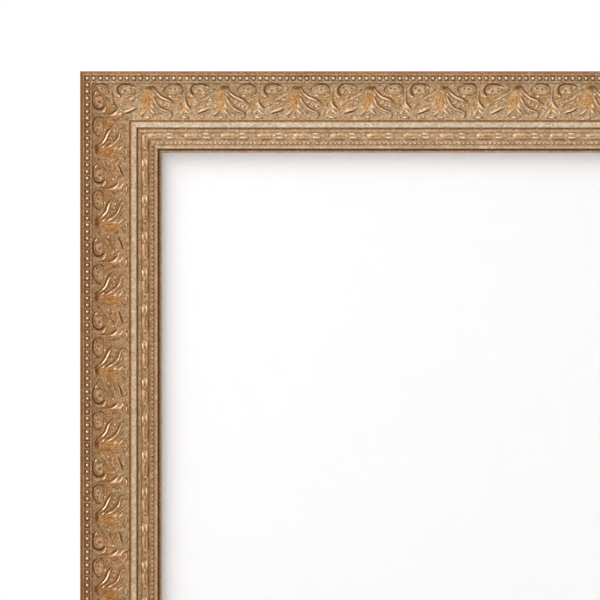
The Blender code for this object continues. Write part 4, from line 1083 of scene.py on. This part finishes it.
def makeBeading(look):
    for number, (side, way) in enumerate(sides.items()):
        dice = np.random.default_rng(look["seed"] + number)
        row = way["length"] - 2 * look["centre"]
        count = round(row / look["pitch"])
        spots = -row / 2 + np.arange(count + 1) * row / count
        cells = (math.ceil(count / look["beadRows"]), look["beadRows"])
        shells = [channelShell(look, side, spots)]
        for k, spot in enumerate(spots[:-1]):
            cell = np.array(divmod(k, look["beadRows"]))
            shells.append(beadShell(look, side, spot, dice, cell, cells))
        makePiece("beads_" + side, shells, ["courses"], ["bead_course_" + side])


makeBeading(beading)
print("bead courses: 4")


# husks and reels over a row of pearls
reels = {
    "start": 38.2, "width": 8.3, "pitch": 22.95, "ground": 15.6, "thick": 1.2,
    "grid": 0.26, "tileCell": 0.07, "folds": 7,
    "row": 2.3, "rise": 1.0, "edge": 0.3, "lip": 0.9, "lipHalf": 0.5,
    "wobble": 0.12, "wobbleSize": 9, "stipple": 0.03, "stippleSize": 1.3, "seeds": (51, 61),
    "first": 17.9,  # where a repeat starts, from the corner a side starts at
    "leftTip": 73.3,  # and on the left side, from the upper corner
    "husk": {
        "middle": 6.6, "half": (5.4, 2.15), "rise": 1.12,
        "flute": 0.14, "flutePitch": 1.3, "washPitch": 2.0,
    },
    # along the repeat and off the row's axis: place, half sizes, and height or strength
    "collar": (12.0, 0.0, 1.5, 1.6, 0.95),
    "lobes": [(15.3, -1.2, 2.8, 0.85, 1.3), (15.9, 1.1, 3.0, 0.85, 1.3), (15.6, 0.0, 3.1, 1.9, 0.6)],
    "heart": (6.8, 0.0, 3.9, 1.0, 1.0),
    "heartWash": (7.4, 0.3, 3.8, 1.9, 0.45),
    # place, half width and height
    "dart": [(18.7, 0.0, 0.3, 0.3), (20.2, 0.1, 0.8, 0.65), (21.6, 0.0, 0.5, 0.5), (22.8, 0.0, 0.25, 0.3)],
    "coves": [(4.9, 0.6, 0.35), (7.8, 0.35, 0.3)],  # across the strip: place, half width, depth
    "pearlRow": 7.0, "pearlStep": 2.784, "pearlRadius": 0.78, "pearlRise": 0.5,
    "pearlBright": 0.8, "pearlGap": 0.45, "uprightShadeContrast": 0.24,
    "groundOlive": 0.32, "groundPale": 0.14, "pearlPale": 0.2,
}


def reelTile(look):
    u, v = tileGrid(look)
    q = v - look["row"]
    # husk: a long bud, blunt at its tip, with faint flutes
    shape = look["husk"]
    halfLong, halfWide = shape["half"]
    bud = np.clip(1 - np.abs((u - shape["middle"]) / halfLong) ** 2.6 - (q / halfWide) ** 2, 0, 1)
    furrows = shape["flute"] * np.cos(2 * math.pi * q / shape["flutePitch"]) ** 2 * ramp(u, 3, 6)
    husk = shape["rise"] * np.sqrt(bud) * (1 - furrows)
    # reel: two long lobes with a furrow between, then a dart towards the next tip
    collar = boss(u, q, *look["collar"])
    reel = np.maximum.reduce([boss(u, q, *lobe) for lobe in look["lobes"]])
    dart = stroke(u, q, look["dart"], 4)
    cove = -sum(depth * hump(v, place, half) for place, half, depth in look["coves"])
    top = np.maximum.reduce([husk, collar, reel, dart])
    top = soften(top + np.where(top < 0.1, cove, 0), 1.8)
    # patina and painted shade between the forms, painted shade under the husk and in its flutes
    heart = patch(u, q, *look["heart"])
    behindTip = ramp(u, 2.6, 3.8)
    flutes = np.cos(2 * math.pi * (q - 0.25 + 0.1 * np.sin(0.9 * u)) / shape["washPitch"])
    flutes = flutes * np.clip(bud * 2.5, 0, 1) * behindTip
    hollow = np.maximum.reduce([
        ramp(soften(top, 5) - top, 0.05, 0.55) * 0.85,
        hump(u, 0.5, 0.6) * hump(q, 0, 0.9) * 0.75,
        hump(u, 15.0, 1.7) * hump(q, 0, 0.45) * 0.7,
        hump(u, 7.0, 4.5) * hump(q, 2.1, 0.5) * 0.36 + hump(q, 2.4, 0.9) * 0.32,
        heart * 0.3,
        np.clip(bud * 3, 0, 1) * ramp(u, 2.8, 4.0) * (0.16 + 0.34 * flutes),
        ramp(-top, 0, 0.3) * 0.5,
        hump(v, 0, 0.5) * 0.2,
        hump(v, 6.4, 1.3, 4) * 0.33,
    ])
    # painted highlights: a pale crescent round the tip, lit edges of the husk, and a band across the reel
    proud = np.maximum.reduce([
        hump(u, 2.1 + 0.2 * q ** 2, 0.75) * hump(q, 0, 1.5, 4) * 0.8,
        flutes * -0.58,
        hump(u, 7.6, 3.4, 4) * hump(q, -1.5, 0.5) * 0.62,
        hump(u, 8.6, 3.0, 4) * hump(q, 1.15, 0.4) * 0.4,
        hump(u, 16.4, 0.7) * hump(q, 0, 1.0, 4) * 0.6,
        ramp(reel, 0, 1.1) * 0.72,
        np.clip(dart, 0, 1) * 0.5,
        collar * 0.3,
    ])
    return {
        "top": top,
        "ochre": np.maximum(heart * 0.66, patch(u, q, *look["heartWash"])),
        "proud": np.clip(soften(proud, 1.5), 0, 1),
        "hollow": np.clip(soften(hollow, 1.5), 0, 1),
    }


def makeReels(look):
    tile = reelTile(look)
    width = look["width"]
    count = round(width / look["grid"])
    share = np.linspace(0, 1, count + 1)
    inward = look["start"] + share * width
    fade = np.clip(np.minimum(share, 1 - share) * width / look["edge"], 0, 1)
    lip = look["lip"] * hump(share * width, 0, look["lipHalf"])
    ring = np.concatenate([inward, inward[[-1, 0]]])
    smoothOf = [True] * count + [False] * 3
    across, step, radius = share * width - look["pearlRow"], look["pearlStep"], look["pearlRadius"]
    for number, (side, way) in enumerate(sides.items()):
        half = way["length"] / 2
        stops, along = stripGrid(side, inward, inward.mean(), look["grid"])
        first = 2 * half - look["leftTip"] if side == "left" else look["first"]
        seedU, seedStipple = (seed + number for seed in look["seeds"])
        drift = look["wobble"] * waver(along, inward[None, :], seedU, look["wobbleSize"])
        stipple = look["stipple"] * waver(along, inward[None, :], seedStipple, look["stippleSize"])
        u = (along + drift + half - first) / look["pitch"]
        v = np.broadcast_to(share[None, :], u.shape)
        pearls = boss((along + half) % step - step / 2, across[None, :], 0.0, 0.0, radius, radius, 1.0)
        # painted shade in the gaps between the pearls
        gaps = look["pearlGap"] * (1 - pearls) * hump(across[None, :], 0, 0.8, 4)
        relief = (sampleTile(tile["top"], u, v) * look["rise"] + stipple) * fade + look["pearlRise"] * pearls
        # painted light and shade: stronger highlights and darks on the upright sides
        boost = 1 + look["uprightShadeContrast"] * way["uprightShade"]
        proud = sampleTile(tile["proud"], u, v) * boost
        hollow = sampleTile(tile["hollow"], u, v) * (1 - pearls)
        marks = withSides({
            # painted highlight on the pearls' tops
            "proud": np.maximum(proud, look["pearlBright"] * pearls ** 2),
            "hollow": np.maximum(hollow, gaps) * boost,
            "ochre": sampleTile(tile["ochre"], u, v),
            "pale": look["groundPale"] + look["pearlPale"] * ramp(v * width, 5.5, 6.5),
            "olive": look["groundOlive"] * ramp(v * width, 4.0, 5.0),
        }, 2)
        base = np.full((len(stops), 2), look["ground"] - look["thick"])
        height = np.hstack([look["ground"] + lip + relief, base])
        shell = sweepSide(side, ring, height, stops, marks, [0] * len(ring), smoothOf, look["folds"])
        makePiece("husks_and_reels_" + side, [shell], ["courses"], ["reel_course_" + side])


makeReels(reels)
print("reel courses: 4")


def loopShell(loops, closed, smooth=True):
    # loops of equal size in mm joined one to the next; an open run is capped at both ends
    loops = np.asarray(loops, float)
    count, around = loops.shape[:2]
    grid = np.arange(count * around).reshape(count, around)
    after = np.roll(grid, -1, 1)
    quads = np.stack([grid, after, np.roll(after, -1, 0), np.roll(grid, -1, 0)], -1)
    if closed:
        rows = [(quads.reshape(-1, 4), 0, smooth, None)]
    else:
        rows = [(quads[:-1].reshape(-1, 4), 0, smooth, None)]
        rows += [([grid[0][::-1]], 0, False, None), ([grid[-1]], 0, False, None)]
    return {"points": loops.reshape(-1, 3) * mm, "rows": rows}


def arc(centre, radius, start, end, count):
    # points from one angle to another, in quarter turns
    turn = np.linspace(start, end, count) * math.pi / 2
    return [(centre[0] + radius * math.cos(a), centre[1] + radius * math.sin(a)) for a in turn]


def straight(start, end, count):
    # points on a straight stretch, without its ends
    return [tuple(point) for point in np.linspace(start, end, count)[1:-1]]


def turned(profile, around):
    # rings about the y axis from radius and y
    turn = np.arange(around) * 2 * math.pi / around
    return [[(r * math.cos(a), y, r * math.sin(a)) for a in turn] for r, y in profile]


screws = {
    "headRadius": 3.1, "headHeight": 1.7, "doming": 0.62, "rim": (0.15, 0.2), "underHead": 1.8,
    "shank": 1.25, "length": 11.0, "point": 2.4, "threadPitch": 1.1, "threadDeep": 0.22,
    "slotHalf": 0.42, "slotReach": 1.75, "slotDeep": 0.95, "slotWall": 0.22, "around": 72,
}


def screwShell(look, spot, twist):
    # pan head with a cross recess, and a threaded shank; spot is the axis on the back plane
    around, length, neck = look["around"], look["length"], look["underHead"]
    head, slotHalf, slotReach = look["headRadius"], look["slotHalf"], look["slotReach"]
    profile = [(0.08, -length), (look["shank"] * 0.7, -length + 1.4)]
    for y in np.linspace(-length + look["point"], neck, 40):
        ridge = look["threadDeep"] * (0.5 + 0.5 * math.cos(y * 2 * math.pi / look["threadPitch"]))
        profile.append((look["shank"] + ridge, y))
    profile += [(head - look["rim"][0], neck), (head, neck + look["rim"][1])]
    loops = turned(profile, around)
    turn = np.arange(around) * 2 * math.pi / around
    for r in np.concatenate([np.linspace(0.05, 2.2, 16), np.linspace(2.35, head, 8)])[::-1]:
        dome = look["headHeight"] * (1 - (r / head) ** 4 * look["doming"])
        shallow = max(1 - r / (slotReach * 1.25), 0.25)
        ringPoints = []
        for a in turn:
            x, z = abs(r * math.cos(a + twist)), abs(r * math.sin(a + twist))
            arm = max(min(slotHalf - x, slotReach - z), min(slotHalf - z, slotReach - x))
            dip = look["slotDeep"] * min(max(arm / look["slotWall"] + 0.3, 0), 1) * shallow
            ringPoints.append((r * math.cos(a), neck + dome - dip, r * math.sin(a)))
        loops.append(ringPoints)
    return loopShell(np.array(loops) + np.array(spot), False)


buttons = {
    "endRadius": 5.5, "tipRadius": 4.0, "reach": 17.0, "tipLift": 1.0, "thick": 1.2, "hole": 1.7,
    "edge": 0.28, "gap": 0.3, "rib": 0.28, "ribHalf": 1.1, "inward": 35.45, "spacing": 95.0,
}


def buttonShell(look, side, along):
    # a pressed plate: outline, rolled edge, raised rib and a tip turned up for the finger
    end, tip, edge, thick = look["endRadius"], look["tipRadius"], look["edge"], look["thick"]
    bend = tip - look["reach"]
    outline = arc((0, 0), end, 0, 2, 30) + straight((-end, 0), (-tip, bend), 20)
    outline += arc((0, bend), tip, 2, 4, 30) + straight((tip, bend), (end, 0), 20)
    outline = np.array(outline)
    angle = np.arctan2(outline[:, 1], outline[:, 0])
    hole = np.stack([np.cos(angle), np.sin(angle)], -1) * look["hole"]
    step = np.roll(outline, -1, 0) - np.roll(outline, 1, 0)
    inwardWay = np.stack([-step[:, 1], step[:, 0]], -1) / np.linalg.norm(step, axis=1, keepdims=True)
    loops = []

    def lay(flat, y):
        lift = look["tipLift"] * np.clip((bend + 1.5 - flat[:, 1]) / (tip + 1.5), 0, 1) ** 1.4
        loops.append(np.stack([flat[:, 0], y + lift, flat[:, 1]], -1))

    def toHole(t):
        return (outline + inwardWay * edge) * (1 - t) + hole * t

    for t in np.linspace(0, 1, 12):
        flat = toHole(t)
        rib = ramp(-flat[:, 1], 3.6, 4.8) * ramp(flat[:, 1], bend + 0.5, bend + 2)
        rib = rib * hump(flat[:, 0], 0, look["ribHalf"])
        lay(flat, thick + look["rib"] * rib)
    lay(hole, 0.0)
    for t in np.linspace(1, 0, 12)[1:]:
        lay(toHole(t), 0.0)
    for inset, y in arc((edge, edge), edge, 3, 2, 4)[1:]:
        lay(outline + inwardWay * inset, y)
    for inset, y in arc((edge, thick - edge), edge, 2, 1, 4)[:-1]:
        lay(outline + inwardWay * inset, y)
    # local x runs along the side, local z outward, local y up from the back
    x, y, z = np.moveaxis(np.array(loops), -1, 0)
    return loopShell(onSide(side, along + x, look["inward"] - z, -(y + look["gap"])) / mm, True)


buttonSpots = {
    "top": ("top", 0), "bottom": ("bottom", 0), "right_upper": ("right", -1),
    "right_lower": ("right", 1), "left_upper": ("left", 1), "left_lower": ("left", -1),
}
for number, (label, (side, sign)) in enumerate(buttonSpots.items()):
    name, along = "turn_button_" + label, sign * buttons["spacing"]
    makePiece("catch_" + label, [buttonShell(buttons, side, along)], ["zinc"], [name], name)
    screw = screwShell(screws, onSide(side, along, buttons["inward"], 0.0) / mm, 0.4 + 0.9 * number)
    makePiece("catch_screw_" + label, [screw], ["brass"], ["button_screw_" + label])
print("turn buttons: 6")


hangers = {
    "width": 10.0, "sheet": 1.2, "rollInner": 1.4, "rollTurn": 285, "edge": 0.25, "screwDrop": 19.0,
    "wire": 1.1, "half": 6.4, "leg": 5.0, "bend": 1.76, "lift": 2.9, "inset": 22.0, "drop": 96.0,
}


def strapShell(look, axis):
    # a strip with a round end, rolled round the ring's bar
    middle = look["rollInner"] + look["sheet"] / 2
    endRadius, drop, t = look["width"] / 2, look["screwDrop"], look["sheet"] / 2
    path = [(-middle, point[1], 0.0) for point in arc((0, -drop), endRadius, 3, 4, 14)]
    path += [(-middle, z, 0.0) for z in np.linspace(-drop, 0, 8)[1:]]
    roll = np.linspace(0, math.radians(look["rollTurn"]), 40)[1:]
    path += [(-middle * math.cos(a), middle * math.sin(a), a) for a in roll]
    loops = []
    for y, z, turn in path:
        below = max(-drop - z, 0.0) if turn == 0.0 else 0.0
        half = max(math.sqrt(max(endRadius ** 2 - below ** 2, 0.0)), 0.3)
        outY, outZ = -math.cos(turn), math.sin(turn)  # away from the roll's axis
        e = min(look["edge"], half * 0.6)
        section = []
        for quarter, (sx, so) in enumerate(((1, -1), (1, 1), (-1, 1), (-1, -1))):
            section += arc((sx * (half - e), so * (t - e)), e, quarter - 1, quarter, 4)
        loops.append([(x, y + outY * out, z + outZ * out) for x, out in section])
    return loopShell(np.array(loops) + np.array(axis), False)


def ringShell(look, axis):
    half, leg, bend, wire = look["half"], look["leg"], look["bend"], look["wire"]
    path = arc((0, -leg), half, 0, -2, 40) + straight((-half, -leg), (-half, -bend), 6)
    path += arc((bend - half, -bend), bend, 2, 1, 8) + straight((bend - half, 0), (half - bend, 0), 14)
    path += arc((half - bend, -bend), bend, 1, 0, 8) + straight((half, -bend), (half, -leg), 6)
    path = np.array(path)
    step = np.roll(path, -1, 0) - np.roll(path, 1, 0)
    step /= np.linalg.norm(step, axis=1, keepdims=True)
    section = arc((0, 0), wire, 0, 4, 19)[:-1]
    loops = [[(x + a * dz, b, z - a * dx) for a, b in section] for (x, z), (dx, dz) in zip(path, step)]
    return loopShell(np.array(loops) + np.array(axis), True)


for label, sign in (("left", -1), ("right", 1)):
    axis = (sign * (halfWidth - hangers["inset"]), backPlane + hangers["lift"], halfHeight - hangers["drop"])
    strap, ring = "hanger_strap_" + label, "hanger_ring_" + label
    makePiece("strap_" + label, [strapShell(hangers, axis)], ["zinc"], [strap])
    makePiece("ring_" + label, [ringShell(hangers, axis)], ["zinc"], [ring], ring)
    screw = screwShell(screws, (axis[0], backPlane, axis[2] - hangers["screwDrop"]), 0.7 + sign)
    makePiece("strap_screw_" + label, [screw], ["brass"], ["hanger_screw_" + label])
print("hangers: 2")


bumpers = {
    "radius": 5.0, "gap": 0.3, "height": -backPlane, "rounding": 0.9, "dish": 0.06,
    "fromCorner": 46.0, "inset": 18.0,
}


def bumperShell(look, spot):
    r, h, rounding = look["radius"], look["height"], look["rounding"]
    flat = r * 0.95 - rounding
    profile = [(r - 0.3, look["gap"]), (r, look["gap"] + 0.3), (r * 0.97, h * 0.55)]
    profile += arc((flat, h - rounding), rounding, 0, 1, 8)
    profile += [(q, h - look["dish"] * math.sin(q / r * math.pi)) for q in np.linspace(flat, 0.2, 7)[1:]]
    return loopShell(np.array(turned(profile, 48)) + np.array(spot), False)


for label, sign in (("left", -1), ("right", 1)):
    spot = (sign * (halfWidth - bumpers["fromCorner"]), backPlane, bumpers["inset"] - halfHeight)
    makePiece("pad_" + label, [bumperShell(bumpers, spot)], ["rubber"], ["bumper_" + label])
print("bumpers: 2")


wedges = {
    "leg": 7.0, "sheet": 0.6, "depth": 9.0, "proud": 0.06, "outer": 11.0, "inner": 27.0,
    "insideBend": 0.5, "outsideBend": 0.9, "tip": 0.2,
}


def wedgeShell(look, side, position):
    # a folded strip across the mitre at a side's start, its edge just proud of the back
    t, far, tip = look["sheet"], position + look["leg"], look["tip"]
    insideAt, outsideAt = position + t + look["insideBend"], position + look["outsideBend"]
    middle = position + t / 2
    flat = [(far - tip, position + t), *arc((insideAt, insideAt), look["insideBend"], 3, 2, 5)]
    flat += [(position + t, far - tip), (middle, far), (position, far - tip)]
    flat += [*arc((outsideAt, outsideAt), look["outsideBend"], 2, 3, 7), (far - tip, position), (far, middle)]
    along, inward = np.array(flat).T
    along = along - sides[side]["length"] / 2
    heights = (look["depth"], 0.3, 0.0, -look["proud"])
    return loopShell([onSide(side, along, inward, h) / mm for h in heights], False, smooth=False)


corners = {"top": "top_left", "right": "top_right", "bottom": "bottom_right", "left": "bottom_left"}
for side, corner in corners.items():
    for label in ("outer", "inner"):
        name = corner + "_" + label
        wedge = wedgeShell(wedges, side, wedges[label])
        makePiece("wedge_" + name, [wedge], ["zinc"], ["v_nail_" + name])
print("wedges: 8")


# sheets in the rabbet keep their solids and get their own finish
for node, finish in (("glazing", "pane"), ("picture_insert", "mount"), ("backing_board", "backing")):
    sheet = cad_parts[node]
    sheet.data.materials.clear()
    sheet.data.materials.append(finishes[finish])
print("sheets: 3")


stage = {
    "floorRadius": 2.0, "floorGap": 0.0002, "floorColour": (0.9, 0.9, 0.89), "floorCloud": (0.87, 0.87, 0.86),
    "worldDiffuse": 0.37,
}


def makeFloor(look):
    material, pin = newFinish("paleFloor")
    pin.surface(colour=pin.noise(3, 3).tint(look["floorColour"], look["floorCloud"]), rough=0.9)
    mesh = bpy.data.meshes.new("floor")
    points = [(x, y, cadLow.z - look["floorGap"]) for x, y in arc((0, 0), look["floorRadius"], 0, 4, 97)[:-1]]
    mesh.from_pydata(points, [], [list(range(len(points)))])
    mesh.materials.append(material)
    floor = bpy.data.objects.new("floor", mesh)
    bpy.context.scene.collection.objects.link(floor)


def makeWorld(look):
    # white to the eye and in reflections, softer as light
    world = bpy.data.worlds.new("studio")
    world.use_nodes = True
    world.node_tree.nodes.clear()
    pin = Pin(world.node_tree)
    seen = pin.add("ShaderNodeLightPath", {}, {}, "Is Camera Ray")
    outputs = seen.socket.node.outputs
    for ray in ("Is Glossy Ray", "Is Transmission Ray"):
        seen = seen.maths("MAXIMUM", seen, Pin(pin.tree, outputs[ray]))
    level = look["worldDiffuse"] + seen * (1 - look["worldDiffuse"])
    background = pin.add("ShaderNodeBackground", {}, {"Color": (1, 1, 1, 1), "Strength": level})
    pin.add("ShaderNodeOutputWorld", {}, {0: background})
    bpy.context.scene.world = world


lamps = [
    {"name": "keyLamp", "from": (-1.31, -1.36, 1.82), "size": 2.2, "power": 51},
    {"name": "frontLamp", "from": (-0.42, -2.6, 0.4), "size": 1.6, "power": 9},
    {"name": "backLamp", "from": (1.2, 2.0, 1.6), "size": 1.4, "power": 42},
]


def makeLamps(table):
    for look in table:
        lamp = bpy.data.lights.new(look["name"], "AREA")
        lamp.size, lamp.energy = look["size"], look["power"]
        holder = bpy.data.objects.new(look["name"], lamp)
        holder.location = look["from"]
        holder.rotation_euler = (-Vector(look["from"])).to_track_quat("-Z", "Y").to_euler()
        bpy.context.scene.collection.objects.link(holder)


# distance in metres from the rim, mm in a pixel, and the pixel where the outer corner is
camera = {"distance": 6.0, "pixel": 0.627, "pixels": 600, "corner": (80.1, 71.15), "sensor": 36.0, "clip": 50}


def makeCamera(look):
    data = bpy.data.cameras.new("camera")
    data.sensor_width = look["sensor"]
    data.lens = look["sensor"] * look["distance"] / (look["pixel"] * mm * look["pixels"])
    data.clip_end = look["clip"]
    holder = bpy.data.objects.new("camera", data)
    middle = look["pixels"] / 2
    rim = max(corner[1] for corner in moulding["section"])
    x = -halfWidth + (middle - look["corner"][0]) * look["pixel"]
    z = halfHeight - (middle - look["corner"][1]) * look["pixel"]
    holder.location = (x * mm, (backPlane - rim) * mm - look["distance"], z * mm)
    holder.rotation_euler = (math.pi / 2, 0, 0)
    bpy.context.scene.collection.objects.link(holder)
    bpy.context.scene.camera = holder


makeFloor(stage)
makeWorld(stage)
makeLamps(lamps)
makeCamera(camera)
bpy.context.scene.view_settings.view_transform = "Standard"
print("stage set")
